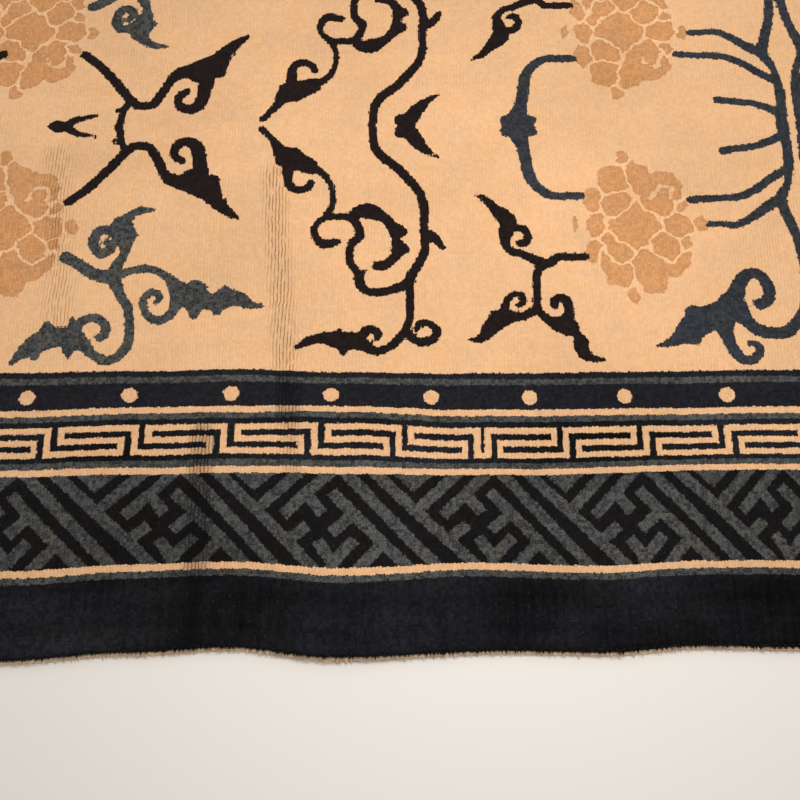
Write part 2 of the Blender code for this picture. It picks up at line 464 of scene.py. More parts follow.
PETAL_FULLER = 1.07
BLOSSOM_STEP = -0.8026
print("petals in a blossom:", len({petal.name for petal in PETALS}))

# %% [markdown]
# A smooth curve is drawn through each stroke's places, and then every point of the field
# asks how far it is from the stroke's edge: below zero is inside. Such distances blend well
# over a mesh, so the outline stays smooth between the mesh's points, and the material later
# breaks it up knot by knot.

# %% Helpers for the drawing
def smooth_path(rows, steps=5):
    """Points on a smooth curve through the rows, which may hold a width as well."""
    rows = np.array(rows, float)
    padded = np.vstack([2 * rows[0] - rows[1], rows, 2 * rows[-1] - rows[-2]])
    shares = np.linspace(0, 1, steps, endpoint=False)[:, None]
    spans = []
    for before, start, end, after in zip(padded, padded[1:], padded[2:], padded[3:]):
        bend = 2 * before - 5 * start + 4 * end - after
        twist = 3 * (start - end) + after - before
        spans.append(0.5 * (2 * start + (end - before) * shares
                            + bend * shares ** 2 + twist * shares ** 3))
    spans.append(rows[-1:])
    return np.vstack(spans)


def stroke_distance(u, v, path):
    """Distance from each point to a stroke's edge, below zero inside it."""
    nearest = np.full(u.shape, 1.0)
    for (u0, v0, r0), (u1, v1, r1) in zip(path, path[1:]):
        du, dv = u1 - u0, v1 - v0
        share = np.clip(((u - u0) * du + (v - v0) * dv) / (du * du + dv * dv + 1e-12), 0, 1)
        gap = np.hypot(u - u0 - du * share, v - v0 - dv * share) - (r0 + (r1 - r0) * share)
        np.minimum(nearest, gap, out=nearest)
    return nearest


STROKE_MORE = 0.0008


def on_rug_path(rows):
    """A stroke's smooth path in metres on the true rectangle, with half widths, a little fuller
    than charted."""
    path = smooth_path(rows)
    u, v, scale = on_rug(path[:, 0], path[:, 1])
    return np.column_stack([u, v, path[:, 2] / 2 * scale + STROKE_MORE])


def petal_rows():
    """Each petal's middle, half sizes and turn in metres on the true rectangle."""
    rows = []
    for petal in PETALS:
        u, v, scale = (float(value) for value in on_rug(petal.x, petal.y))
        high_end = float(on_rug(petal.x, petal.y - petal.high)[1])
        turn = math.radians(petal.turn_deg)
        wide, high = PETAL_FULLER * petal.wide * scale, PETAL_FULLER * (high_end - v)
        rows.append((u, v, wide, high, turn, petal.name, petal.layer, petal.power))
    return rows


print("points along the first stem:", len(on_rug_path(BRANCH_BLACK[0])))

# %% [markdown]
# Only the near strip of the field shows in the photograph. Its strokes are carried on past
# the picture's sides with the same units, mirrored, and a second strip mirrored behind it
# makes a pair. The field holds three such pairs: one at each end, the far one turned half
# about, and one in the middle.

# %% The strip's strokes, and where they repeat
MIRROR_RIGHT = 0.418
MIRROR_LEFT = -0.580
CROSS_SHIFT = -0.815
STRIP_TOP = float(on_rug(400, 126)[1])


def mirrored(paths, about):
    """The same paths, mirrored across."""
    return [path * (-1, 1, 1) + (2 * about, 0, 0) for path in paths]


strip = {"black": [], "slate": [], "steel": []}
for strokes, yarn in YARN_OF:
    strip[yarn] += [on_rug_path(rows) for rows in strokes]
cross = [on_rug_path(rows) for rows in CROSS_BLACK]
branch = [on_rug_path(rows) for rows in BRANCH_BLACK[:-2]]
steels = list(strip["steel"])
strip["black"] += mirrored(cross, MIRROR_RIGHT) + mirrored(branch, MIRROR_LEFT)
strip["steel"] += mirrored(steels, MIRROR_RIGHT)
strip["slate"] += [path + (CROSS_SHIFT, 0, 0) for path in cross]

blossom = petal_rows()
blossom_arc = on_rug_path(PETAL_ARC)
blossom_places = [(1, 0.0), (1, BLOSSOM_STEP), (-1, 2 * MIRROR_RIGHT)]

Placing = namedtuple("Placing", "across along shift")
PLACINGS = [
    Placing(1, 1, 0.0),
    Placing(1, -1, 2 * STRIP_TOP),
    Placing(-1, 1, -STRIP_TOP),
    Placing(-1, -1, STRIP_TOP),
    Placing(-1, -1, 0.0),
    Placing(-1, 1, -2 * STRIP_TOP),
]
print("the strip ends", round(STRIP_TOP + FIELD_HALF_LENGTH, 3), "m into the field")

# %% [markdown]
# The drawing is laid on the field's grid of points. A stroke only changes the points near it,
# so each one works on its own window of the grid, and the nearest stroke counts.

# %% A sheet of distances for each yarn
FIELD_PITCH = 0.0048
FAR_AWAY = 0.05
columns = 2 * math.ceil(FIELD_HALF_WIDTH / FIELD_PITCH) + 1
rows = 2 * math.ceil(FIELD_HALF_LENGTH / FIELD_PITCH) + 1
field_u = np.linspace(-FIELD_HALF_WIDTH, FIELD_HALF_WIDTH, columns)
field_v = np.linspace(-FIELD_HALF_LENGTH, FIELD_HALF_LENGTH, rows)
drawn = {yarn: np.full((rows, columns), FAR_AWAY) for yarn in strip}
petal_maps = [np.full((rows, columns), FAR_AWAY) for layer in range(PETAL_LAYERS)]


def window(low_u, high_u, low_v, high_v, room=0.02):
    """The part of the field's grid inside some limits, as two slices."""
    across = slice(*np.searchsorted(field_u, (low_u - room, high_u + room)))
    along = slice(*np.searchsorted(field_v, (low_v - room, high_v + room)))
    return along, across


def draw_stroke(sheet, path):
    """Lays one stroke on a yarn's sheet of distances."""
    along, across = window(path[:, 0].min(), path[:, 0].max(), path[:, 1].min(), path[:, 1].max())
    u, v = np.meshgrid(field_u[across], field_v[along])
    if u.size:
        part = sheet[along, across]
        np.minimum(part, stroke_distance(u, v, path), out=part)


print("field points:", rows * columns)

# %% [markdown]
# A blossom is drawn whole. Its ovals are bent by a slow wave, because petals tied knot by knot
# are never even. Each petal then keeps half a line's width from the nearest other one, and one
# thin arc is cut out of the upper petals.

# %% A blossom's petals
WOBBLE = 0.0011
WAVES_ACROSS = [(210, 150, 0), (95, -260, 1), (0, 430, 0)]
WAVES_ALONG = [(-190, 170, 2), (280, 90, 0), (390, 0, 0)]
DIAMOND_SLOPE = 0.7


def waving(u, v, waves):
    """A slow wave: each row holds its turns across and along, and where it starts."""
    return WOBBLE * sum(np.sin(across * u + along * v + start) for across, along, start in waves)


def draw_blossom(across_sign, across_shift, placing):
    """One blossom: its ovals, shrunk apart where they would meet."""
    ovals = []
    for u, v, wide, high, turn, *rest in blossom:
        u = (u * across_sign + across_shift) * placing.across
        v = v * placing.along + placing.shift
        ovals.append((u, v, wide, high, turn * across_sign * placing.across * placing.along, *rest))
    us = [oval[0] for oval in ovals]
    vs = [oval[1] for oval in ovals]
    along, across = window(min(us), max(us), min(vs), max(vs), room=0.05)
    u, v = np.meshgrid(field_u[across], field_v[along])
    if not u.size:
        return
    u = u + waving(u, v, WAVES_ACROSS)
    v = v + waving(u, v, WAVES_ALONG)
    gaps = {}
    layers = {}
    for middle_u, middle_v, wide, high, turn, name, layer, power in ovals:
        x = (u - middle_u) * math.cos(turn) + (v - middle_v) * math.sin(turn)
        y = (v - middle_v) * math.cos(turn) - (u - middle_u) * math.sin(turn)
        away = (np.abs(x / wide) ** power + np.abs(y / high) ** power) ** (1 / power)
        gap = (away - 1) * min(wide, high) * (DIAMOND_SLOPE if power < 2 else 1)
        gaps[name] = np.minimum(gaps.get(name, FAR_AWAY), gap)
        layers[name] = layer
    arc = blossom_arc * (across_sign * placing.across, placing.along, 1)
    arc += (across_shift * placing.across, placing.shift, 0)
    off_arc = stroke_distance(u, v, arc)
    for name, own in gaps.items():
        others = np.min([gap for other, gap in gaps.items() if other != name], axis=0)
        petal = np.maximum(own, (own - others + PETAL_LINE) / 2)
        petal = np.maximum(petal, -off_arc)
        part = petal_maps[layers[name]][along, across]
        np.minimum(part, petal, out=part)


print("ovals in a blossom:", len(blossom))

# %% [markdown]
# The ground between two pairs of strips isn't seen. Rows of small S scrolls fill it, in the
# manner of the vines: a curled stem, a leaf at its end, and the same again turned half about.
# The columns are across, along and half the width, in metres from the scroll's middle.

# %% The scrolls between the pairs
SCROLL_STEM = [
    (-0.116, -0.002, 0.0028), (-0.125, 0.005, 0.0034), (-0.124, 0.018, 0.0038),
    (-0.110, 0.025, 0.0040), (-0.095, 0.017, 0.0042), (-0.089, 0.002, 0.0042),
    (-0.075, -0.013, 0.0042), (-0.050, -0.018, 0.0044), (-0.024, -0.010, 0.0046), (0.0, 0.0, 0.0050),
]
SCROLL_LEAF = [
    (0.0, 0.0, 0.0040), (0.010, -0.018, 0.0066), (0.026, -0.028, 0.0098), (0.041, -0.029, 0.0094),
    (0.054, -0.034, 0.0052), (0.070, -0.041, 0.0012),
]
ScrollPlace = namedtuple("ScrollPlace", "u yarn")
SCROLL_PLACES = [
    ScrollPlace(-0.70, "black"), ScrollPlace(-0.35, "slate"), ScrollPlace(0.0, "black"),
    ScrollPlace(0.35, "steel"), ScrollPlace(0.70, "black"),
]
between_pairs = -STRIP_TOP / 2


def draw_scroll(sheet, u, v, flip):
    """A small S scroll: each half is the other turned half about."""
    for half in (1, -1):
        for rows in (SCROLL_STEM, SCROLL_LEAF):
            draw_stroke(sheet, smooth_path(rows) * (half * flip, half, 1) + (u, v, 0))


print("scrolls lie", round(between_pairs, 3), "m from the rug's middle")

# %% [markdown]
# Everything that the field shows is now drawn: the scrolls, and the strip with its blossoms
# in each of its six places.

# %% All strokes and blossoms, drawn
for end in (-1, 1):
    for number, place in enumerate(SCROLL_PLACES):
        draw_scroll(drawn[place.yarn], place.u * end, between_pairs * end, (-1) ** number)
for placing in PLACINGS:
    for yarn, paths in strip.items():
        for path in paths:
            moved = path * (placing.across, placing.along, 1) + (0, placing.shift, 0)
            draw_stroke(drawn[yarn], moved)
    for across_sign, across_shift in blossom_places:
        draw_blossom(across_sign, across_shift, placing)
print("deepest inside a black stroke:", round(float(-drawn["black"].min()) * 1000, 1), "mm")

# %% [markdown]
# Materials are built from nodes. Two small helpers keep that readable: one adds a node and
# joins or sets its inputs, the other opens a node group with named inputs and outputs.

# %% Helpers for shader nodes
def add(tree, kind, inputs=(), **settings):
    """Adds a node, with inputs by number or name: a socket is joined, a value is set."""
    node = tree.nodes.new(kind)
    for name, value in settings.items():
        setattr(node, name, value)
    for name, value in dict(inputs).items():
        if isinstance(value, bpy.types.NodeSocket):
            tree.links.new(value, node.inputs[name])
        else:
            node.inputs[name].default_value = value
    return node


def calc(tree, operation, first, second=0.0, third=0.0):
    """The result of a math node."""
    node = add(tree, "ShaderNodeMath", {0: first, 1: second, 2: third}, operation=operation)
    return node.outputs[0]


def nudged(tree, total, value, share, middle=0.5):
    """A total, plus a share of how far a value is off its middle."""
    return calc(tree, "MULTIPLY_ADD", calc(tree, "SUBTRACT", value, middle), share, total)


def vector_calc(tree, operation, first, second=(0, 0, 0), output=0):
    node = add(tree, "ShaderNodeVectorMath", {0: first, 1: second}, operation=operation)
    return node.outputs[output]


def off_middle(tree, value, middle):
    """How far a value is from a middle one, either way."""
    return calc(tree, "ABSOLUTE", calc(tree, "SUBTRACT", value, middle))


def flat_place(tree, x, y):
    """A place in a flat pattern, as a vector."""
    return add(tree, "ShaderNodeCombineXYZ", {"X": x, "Y": y}).outputs[0]


def blend(tree, share, first, second):
    """A colour between two others."""
    inputs = {"Factor": share, 6: first, 7: second}
    return add(tree, "ShaderNodeMix", inputs, data_type="RGBA").outputs[2]


def tinted(tree, colour, shade):
    """A colour made lighter or darker by a factor."""
    node = add(tree, "ShaderNodeVectorMath", {0: colour, "Scale": shade}, operation="SCALE")
    return node.outputs[0]


def ramp(tree, value, low, high, to_low=0.0, to_high=1.0):
    """Maps a range smoothly onto another, and holds it there."""
    inputs = {"Value": value, 1: low, 2: high, 3: to_low, 4: to_high}
    return add(tree, "ShaderNodeMapRange", inputs, interpolation_type="SMOOTHSTEP").outputs[0]


def within(tree, distance, soft):
    """1 where a distance is below zero, with a soft edge."""
    return ramp(tree, distance, soft, -soft)


def carried(tree, name):
    """A number that the mesh carries at its points."""
    return add(tree, "ShaderNodeAttribute", attribute_name=name).outputs["Fac"]


def noise(tree, vector, scale, detail=2.0, roughness=0.5, output=0):
    inputs = {"Vector": vector, "Scale": scale, "Detail": detail, "Roughness": roughness}
    return add(tree, "ShaderNodeTexNoise", inputs).outputs[output]


def open_group(name, inputs, outputs, kind_of_tree="ShaderNodeTree"):
    """A node group: inputs are name, kind and usual value, outputs name and kind."""
    tree = bpy.data.node_groups.new(name, kind_of_tree)
    for label, kind, usual in inputs:
        socket = tree.interface.new_socket(label, in_out="INPUT", socket_type=kind)
        if usual is not None:
            socket.default_value = usual
    for label, kind in outputs:
        tree.interface.new_socket(label, in_out="OUTPUT", socket_type=kind)
    return tree, tree.nodes.new("NodeGroupInput").outputs, tree.nodes.new("NodeGroupOutput").inputs


def use_group(tree, group, inputs):
    """Places a node group in a tree, and gives its outputs."""
    return add(tree, "ShaderNodeGroup", inputs, node_tree=group).outputs


# %% [markdown]
# One knot is a tuft of cut wool about four millimetres square. Seen from a step away, the
# tufts are soft domes that stand in columns, each a little out of line and of its own shade.
# So the rug's plane is counted off in knots, bent a little by slow noise. Each knot has a
# random value, and a colour's edge bulges out at the middle of every tuft, which makes it
# toothed. Fine noise adds the cut fibres, and where the pile is parted a gap opens between
# the columns, which the materials darken with painted shade.

# %% The knotted pile, as a node group
FLOAT, VECTOR, COLOUR = "NodeSocketFloat", "NodeSocketVector", "NodeSocketColor"
pile_group, given, result = open_group(
    "knotted pile",
    [("Rug", VECTOR, None), ("Opened", FLOAT, 0.0)],
    [("Height", FLOAT), ("Knot", FLOAT), ("Fleck", FLOAT), ("Jitter", FLOAT), ("Gap", FLOAT),
     ("Speck", FLOAT)],
)
COLUMNS_BEND = (2.2, 2.2, 0)
KNOTS_FIDGET = (0.9, 1.2, 0)
FIBRE_SCALE = 1500
FLECK_SCALE = 560
SPECK_SCALE = 850
NO_SPECK = 0.996
MIDDLE = (0.5, 0.5, 0.5)

# Places counted in knots, and each knot's own random values
tree = pile_group
knots = vector_calc(tree, "MULTIPLY", given["Rug"], (1 / KNOT_ACROSS, 1 / KNOT_ALONG, 1))
bend = vector_calc(tree, "SUBTRACT", noise(tree, knots, 0.03, output=1), MIDDLE)
fidget = vector_calc(tree, "SUBTRACT", noise(tree, knots, 0.4, output=1), MIDDLE)
knots = vector_calc(tree, "ADD", knots, vector_calc(tree, "MULTIPLY", bend, COLUMNS_BEND))
knots = vector_calc(tree, "ADD", knots, vector_calc(tree, "MULTIPLY", fidget, KNOTS_FIDGET))
numbered = vector_calc(tree, "FLOOR", knots)
own = add(tree, "ShaderNodeTexWhiteNoise", {"Vector": numbered}, noise_dimensions="2D")
own = add(tree, "ShaderNodeSeparateColor", {"Color": own.outputs["Color"]})
place = add(tree, "ShaderNodeSeparateXYZ", {"Vector": vector_calc(tree, "FRACTION", knots)})
aside = off_middle(tree, place.outputs["X"], 0.5)
ahead = off_middle(tree, place.outputs["Y"], 0.5)
fibre = noise(tree, given["Rug"], FIBRE_SCALE, detail=3, roughness=0.65)
fleck = noise(tree, given["Rug"], FLECK_SCALE, detail=3, roughness=0.7)

# A gap between two columns, broken along its way
broken = vector_calc(tree, "MULTIPLY", knots, (1.0, 0.24, 1))
broken = ramp(tree, noise(tree, broken, 1.0, detail=2), 0.34, 0.56)
parted = calc(tree, "MULTIPLY", broken, given["Opened"])
always = ramp(tree, noise(tree, given["Rug"], 9.0), 0.42, 0.72, 0.0, 0.09)
gap = calc(tree, "MULTIPLY", ramp(tree, aside, 0.30, 0.47), calc(tree, "MAXIMUM", parted, always))

# The relief of one tuft, and how it shifts a colour's edge
side_slope = calc(tree, "MULTIPLY", calc(tree, "MULTIPLY", aside, aside), 1.2)
end_slope = calc(tree, "MULTIPLY", calc(tree, "MULTIPLY", ahead, ahead), 0.5)
height = calc(tree, "SUBTRACT", 0.62, calc(tree, "ADD", side_slope, end_slope))
height = nudged(tree, height, own.outputs[0], 0.25)
height = calc(tree, "MULTIPLY_ADD", fibre, 0.35, height)
streak = noise(tree, vector_calc(tree, "MULTIPLY", knots, (1.7, 0.13, 1)), 1.0, detail=2)
height = nudged(tree, height, streak, 0.5)
height = calc(tree, "SUBTRACT", height, gap)
jitter = calc(tree, "MULTIPLY_ADD", aside, 1.5, -0.38)
jitter = nudged(tree, jitter, ahead, 0.7, middle=0.25)
jitter = nudged(tree, jitter, own.outputs[0], 1.4)
jitter = nudged(tree, jitter, fleck, 1.0)

# Pale specks, each a small square that a few places in a thousand have
squares = vector_calc(tree, "MULTIPLY", given["Rug"], (SPECK_SCALE, SPECK_SCALE, 1))
squares = vector_calc(tree, "FLOOR", squares)
squares = add(tree, "ShaderNodeTexWhiteNoise", {"Vector": squares}, noise_dimensions="2D")
speck = calc(tree, "GREATER_THAN", squares.outputs["Value"], NO_SPECK)

tree.links.new(height, result["Height"])
tree.links.new(own.outputs[1], result["Knot"])
tree.links.new(ramp(tree, fleck, 0.34, 0.66), result["Fleck"])
tree.links.new(jitter, result["Jitter"])
tree.links.new(gap, result["Gap"])
tree.links.new(speck, result["Speck"])
print("the pile group has", len(tree.nodes), "nodes")

# %% [markdown]
# The wool was dyed in small lots, so a colour shifts a little from one row of knots to the
# next: weavers call it abrash. It shows as faint bars across the rug, on top of broad clouds
# of wear and soiling.

# %% Abrash, as a node group
abrash_group, given, result = open_group(
    "abrash", [("Rug", VECTOR, None), ("Bars", FLOAT, 0.5), ("Clouds", FLOAT, 0.5)],
    [("Shade", COLOUR)],
)
BARS_SCALE = (1.6, 34, 1)
STREAKS_SCALE = (240, 7, 1)
CLOUDS_SCALE = 4.2
WARMTH_SCALE = 23.0
COOLER, WARMER = (0.93, 0.99, 1.09, 1), (1.06, 1.01, 0.92, 1)

tree = abrash_group
bars = noise(tree, vector_calc(tree, "MULTIPLY", given["Rug"], BARS_SCALE), 1.0, detail=3)
streaks = noise(tree, vector_calc(tree, "MULTIPLY", given["Rug"], STREAKS_SCALE), 1.0, detail=2)
clouds = noise(tree, given["Rug"], CLOUDS_SCALE, detail=4, roughness=0.6)
shade = nudged(tree, 1.0, bars, given["Bars"])
shade = nudged(tree, shade, streaks, calc(tree, "MULTIPLY", given["Bars"], 0.5))
shade = nudged(tree, shade, clouds, given["Clouds"])
warmth = noise(tree, given["Rug"], WARMTH_SCALE, detail=3, roughness=0.6)
tint = blend(tree, ramp(tree, warmth, 0.35, 0.65), COOLER, WARMER)
tint = blend(tree, calc(tree, "MULTIPLY", given["Clouds"], 0.9), (1, 1, 1, 1), tint)
tree.links.new(tinted(tree, tint, shade), result["Shade"])
print("the abrash group has", len(tree.nodes), "nodes")

# %% [markdown]
# A yarn is two shades of one dye, because carded wool takes dye unevenly. The camel wool is
# close in its shades, the slate is very mixed. The table gives both shades for each yarn, in
# linear light, and how much the abrash changes it.

# %% The yarns
Yarn = namedtuple("Yarn", "dark light bars clouds")
YARNS = {
    "camel": Yarn((0.628, 0.372, 0.192), (0.700, 0.434, 0.249), 0.10, 0.38),
    "cream": Yarn((0.560, 0.330, 0.180), (0.690, 0.420, 0.232), 0.10, 0.45),
    "tan": Yarn((0.425, 0.205, 0.082), (0.590, 0.296, 0.132), 0.16, 0.40),
    "black": Yarn((0.0064, 0.0038, 0.0036), (0.0158, 0.0100, 0.0096), 0.50, 0.6),
    "ink": Yarn((0.0030, 0.0025, 0.0029), (0.0080, 0.0067, 0.0076), 0.60, 1.0),
    "slate": Yarn((0.0132, 0.0144, 0.0156), (0.0860, 0.0875, 0.0835), 0.60, 0.9),
    "steel": Yarn((0.0130, 0.0150, 0.0190), (0.0410, 0.0440, 0.0530), 0.50, 0.8),
    "navy": Yarn((0.0030, 0.0033, 0.0042), (0.0105, 0.0110, 0.0148), 1.80, 4.4),
    "night": Yarn((0.0055, 0.0056, 0.0080), (0.0150, 0.0147, 0.0200), 0.50, 1.0),
}
print("yarns:", ", ".join(YARNS))

# %% [markdown]
# Wool is dull, with a faint sheen on the nap, and all the pile's materials share that. Each
# adds up its colour, paints shade into the gaps between the columns and onto the lower parts
# of the tufts, and joins colour and relief to the shader.

# %% The wool's finish
PALE_SPECK = (0.45, 0.40, 0.30, 1)
SPECK_STRENGTH = 0.05
WOOL_FINISH = {
    "Roughness": 0.92, "Specular IOR Level": 0.08, "Sheen Weight": 0.035, "Sheen Roughness": 0.45,
}


def new_material(name, finish):
    """A material, its node tree and its shader, with plain numbers set on the shader."""
    material = bpy.data.materials.new(name)
    material.use_nodes = True
    tree = material.node_tree
    shader = tree.nodes["Principled BSDF"]
    for label, value in finish.items():
        shader.inputs[label].default_value = value
    return material, tree, shader


def cover(tree, shader, colour, height, distance, strength=1.0):
    """Joins a colour and a relief to a shader."""
    bump = add(tree, "ShaderNodeBump", {"Strength": strength, "Distance": distance, "Height": height})
    tree.links.new(colour, shader.inputs["Base Color"])
    tree.links.new(bump.outputs[0], shader.inputs["Normal"])


def wool_material(name):
    """A new material with the pile and a way to get each yarn's colour."""
    material, tree, shader = new_material(name, WOOL_FINISH)
    rug = add(tree, "ShaderNodeUVMap", uv_map="Rug").outputs[0]
    pile = use_group(tree, pile_group, {"Rug": rug, "Opened": carried(tree, "opened")})
    mix = calc(tree, "MULTIPLY_ADD", pile["Knot"], 0.55, calc(tree, "MULTIPLY", pile["Fleck"], 0.75))
    mix = calc(tree, "SUBTRACT", mix, 0.15)
    mix = ramp(tree, mix, 0.0, 1.0)

    def dyed(yarn_name):
        yarn = YARNS[yarn_name]
        shade = use_group(tree, abrash_group, {"Rug": rug, "Bars": yarn.bars, "Clouds": yarn.clouds})
        colour = blend(tree, mix, (*yarn.dark, 1), (*yarn.light, 1))
        return vector_calc(tree, "MULTIPLY", colour, shade["Shade"])

    return material, tree, shader, rug, pile, dyed


def finish_wool(tree, shader, pile, colour, height, gap_shade, depth=0.0009):
    """Paints shade into the gaps in the pile and onto the lower parts of its tufts, and joins colour
    and relief to the shader.
    """
    # Painted shade: the gaps between the columns are darkened, and so are the lower parts of each tuft,
    # whose tops are painted a touch lighter.
    gap_shade_tint = blend(tree, ramp(tree, pile["Gap"], 0.0, 0.9), (1, 1, 1, 1), (*gap_shade, 1))
    colour = vector_calc(tree, "MULTIPLY", colour, gap_shade_tint)
    colour = tinted(tree, colour, ramp(tree, pile["Height"], 0.10, 0.75, 0.95, 1.02))
    speckled = calc(tree, "MULTIPLY", pile["Speck"], SPECK_STRENGTH)
    cover(tree, shader, blend(tree, speckled, colour, PALE_SPECK), height, depth)


print("the wool's finish:", WOOL_FINISH)

# %% [markdown]
# The field's material reads the distances that the mesh carries. A tuft belongs to a vine
# where its distance, shifted by the tuft's own jitter, is below zero.

# %% The field's wool
EDGE_JITTER = 0.0013
EDGE_SOFT = 0.0005
BAND_JITTER = 0.0011
PETAL_JITTER = 0.0010
PETAL_SOFT = 0.0008
FIELD_GAP_SHADE = (0.66, 0.57, 0.44)
FIELD_PARTED_SHADE = 0.95
field_wool, tree, shader, rug, pile, dyed = wool_material("field wool")


def covered(tree, attribute, pile, soft=EDGE_SOFT, amount=EDGE_JITTER):
    """1 where a drawing's distance is below zero, with its edge moved tuft by tuft."""
    moved = calc(tree, "MULTIPLY_ADD", pile["Jitter"], amount, carried(tree, attribute))
    return within(tree, moved, soft)


petals = insides = beside = 0.0
for layer in range(PETAL_LAYERS):
    distance = carried(tree, f"petals_{layer}")
    moved = calc(tree, "MULTIPLY_ADD", pile["Jitter"], PETAL_JITTER, distance)
    petals = calc(tree, "MAXIMUM", petals, within(tree, moved, PETAL_SOFT))
    insides = calc(tree, "MAXIMUM", insides, ramp(tree, moved, -0.0006, -0.0024))
    beside = calc(tree, "ADD", beside, ramp(tree, distance, 0.0045, 0.0015))
# Painted shade: a thin band just inside each petal's edge is darkened, for the shadow at its carved
# outline.
carved_edge_shade = calc(tree, "SUBTRACT", petals, insides)
paler = tinted(tree, dyed("camel"), ramp(tree, beside, 0.8, 2.0, 1.0, 1.09))
colour = blend(tree, petals, paler, dyed("tan"))
colour = tinted(tree, colour, ramp(tree, carved_edge_shade, 0.0, 1.0, 1.0, 0.92))
relief = calc(tree, "MULTIPLY_ADD", petals, 0.5, pile["Height"])
for yarn in ("slate", "steel", "black"):
    here = covered(tree, yarn, pile)
    colour = blend(tree, here, colour, dyed(yarn))
    relief = calc(tree, "MULTIPLY_ADD", here, -0.3, relief)
edge_line = covered(tree, "field_edge", pile, amount=BAND_JITTER)
colour = blend(tree, edge_line, colour, dyed("night"))
# Painted shade: where the pile is parted over a ripple's crest, the field's colour is darkened a
# little.
colour = tinted(tree, colour, ramp(tree, carried(tree, "opened"), 0.0, 1.0, 1.0, FIELD_PARTED_SHADE))
finish_wool(tree, shader, pile, colour, relief, FIELD_GAP_SHADE)
print("field wool:", len(tree.nodes), "nodes")

# %% [markdown]
# The border's drawing repeats, so it needs no distances on the mesh. The mesh carries how
# far a point is along its side and in from the pile's edge, and the material works out
# everything else. A fret is a few straight bars in one repeat, and the group below gives the
# distance to one bar, with square ends.

# %% One bar of a fret, as a node group
bar_group, given, result = open_group(
    "fret bar",
    [("Place", VECTOR, None), ("Middle", VECTOR, (0, 0, 0)), ("Direction", VECTOR, (1, 0, 0)),
     ("Half length", FLOAT, 0.01), ("Half width", FLOAT, 0.005)],
    [("Distance", FLOAT)],
)
tree = bar_group
away = vector_calc(tree, "SUBTRACT", given["Place"], given["Middle"])
along = calc(tree, "ABSOLUTE", vector_calc(tree, "DOT_PRODUCT", away, given["Direction"], "Value"))
squared = vector_calc(tree, "CROSS_PRODUCT", given["Direction"], (0, 0, 1))
aside = calc(tree, "ABSOLUTE", vector_calc(tree, "DOT_PRODUCT", away, squared, "Value"))
past_end = calc(tree, "SUBTRACT", along, given["Half length"])
past_side = calc(tree, "SUBTRACT", aside, given["Half width"])
tree.links.new(calc(tree, "MAXIMUM", past_end, past_side), result["Distance"])


def bars_distance(tree, place, bars, half_width):
    """The distance to the nearest of some bars, each given by its two ends in metres."""
    nearest = None
    for (x0, y0), (x1, y1) in bars:
        long = math.hypot(x1 - x0, y1 - y0)
        inputs = {
            "Place": place,
            "Middle": ((x0 + x1) / 2, (y0 + y1) / 2, 0),
            "Direction": ((x1 - x0) / long, (y1 - y0) / long, 0),
            "Half length": long / 2 + half_width,
            "Half width": half_width,
        }
        distance = use_group(tree, bar_group, inputs)["Distance"]
        nearest = distance if nearest is None else calc(tree, "MINIMUM", nearest, distance)
    return nearest


print("the bar group has", len(tree.nodes), "nodes")

# %% [markdown]
# The key fret is one cream line that runs on and on: down, along the bottom, back through
# the middle, and along the top to the next bar. It is mirrored at the middle of each side,
# where it makes a small U. Both sides reach a corner at the same point of the repeat, so the
# line turns the corner without a break.

# %% The key fret's chart
KEY_LINE = 0.0076
KEY_GAP = (BAND_WIDTH["key"] - 3 * KEY_LINE) / 2
KEY_U = 0.0061
KEY_REPEATS = {"end": 9.5, "side": 12.5}
key_middle = BAND_START["key"] + BAND_WIDTH["key"] / 2


def key_bars(pitch):
    """The bars of one repeat, with x from its outer upright and y from the band's foot."""
    half = KEY_LINE / 2
    low_y, mid_y, top_y = half, half + KEY_LINE + KEY_GAP, BAND_WIDTH["key"] - half
    near_x = KEY_LINE + KEY_GAP
    far_x = pitch - KEY_LINE - KEY_GAP
    return [
        ((0, low_y), (0, top_y)),
        ((pitch, low_y), (pitch, top_y)),
        ((0, low_y), (far_x, low_y)),
        ((far_x, low_y), (far_x, mid_y)),
        ((near_x, mid_y), (far_x, mid_y)),
        ((near_x, mid_y), (near_x, top_y)),
        ((near_x, top_y), (pitch, top_y)),
    ]


def key_mask(tree, along, inset, shift, pitch):
    """1 on the key line: a repeat's bars, and the foot of the U at the side's middle."""
    from_u = calc(tree, "SUBTRACT", calc(tree, "ABSOLUTE", along), KEY_U)
    from_u = calc(tree, "DIVIDE", from_u, pitch)
    turn = calc(tree, "FRACT", calc(tree, "MAXIMUM", from_u, 0.0))
    turn = calc(tree, "ADD", turn, calc(tree, "MINIMUM", from_u, 0.0))
    x = calc(tree, "MULTIPLY", calc(tree, "SUBTRACT", 1.0, turn), pitch)
    y = calc(tree, "SUBTRACT", inset, BAND_START["key"])
    key = bars_distance(tree, flat_place(tree, x, y), key_bars(pitch), KEY_LINE / 2)
    u_foot = [((-KEY_U, KEY_LINE / 2), (KEY_U, KEY_LINE / 2))]
    foot = bars_distance(tree, flat_place(tree, along, y), u_foot, KEY_LINE / 2)
    key = calc(tree, "ADD", calc(tree, "MINIMUM", key, foot), shift)
    return within(tree, key, EDGE_SOFT)


print("key line", KEY_LINE, "gap", round(KEY_GAP, 4))
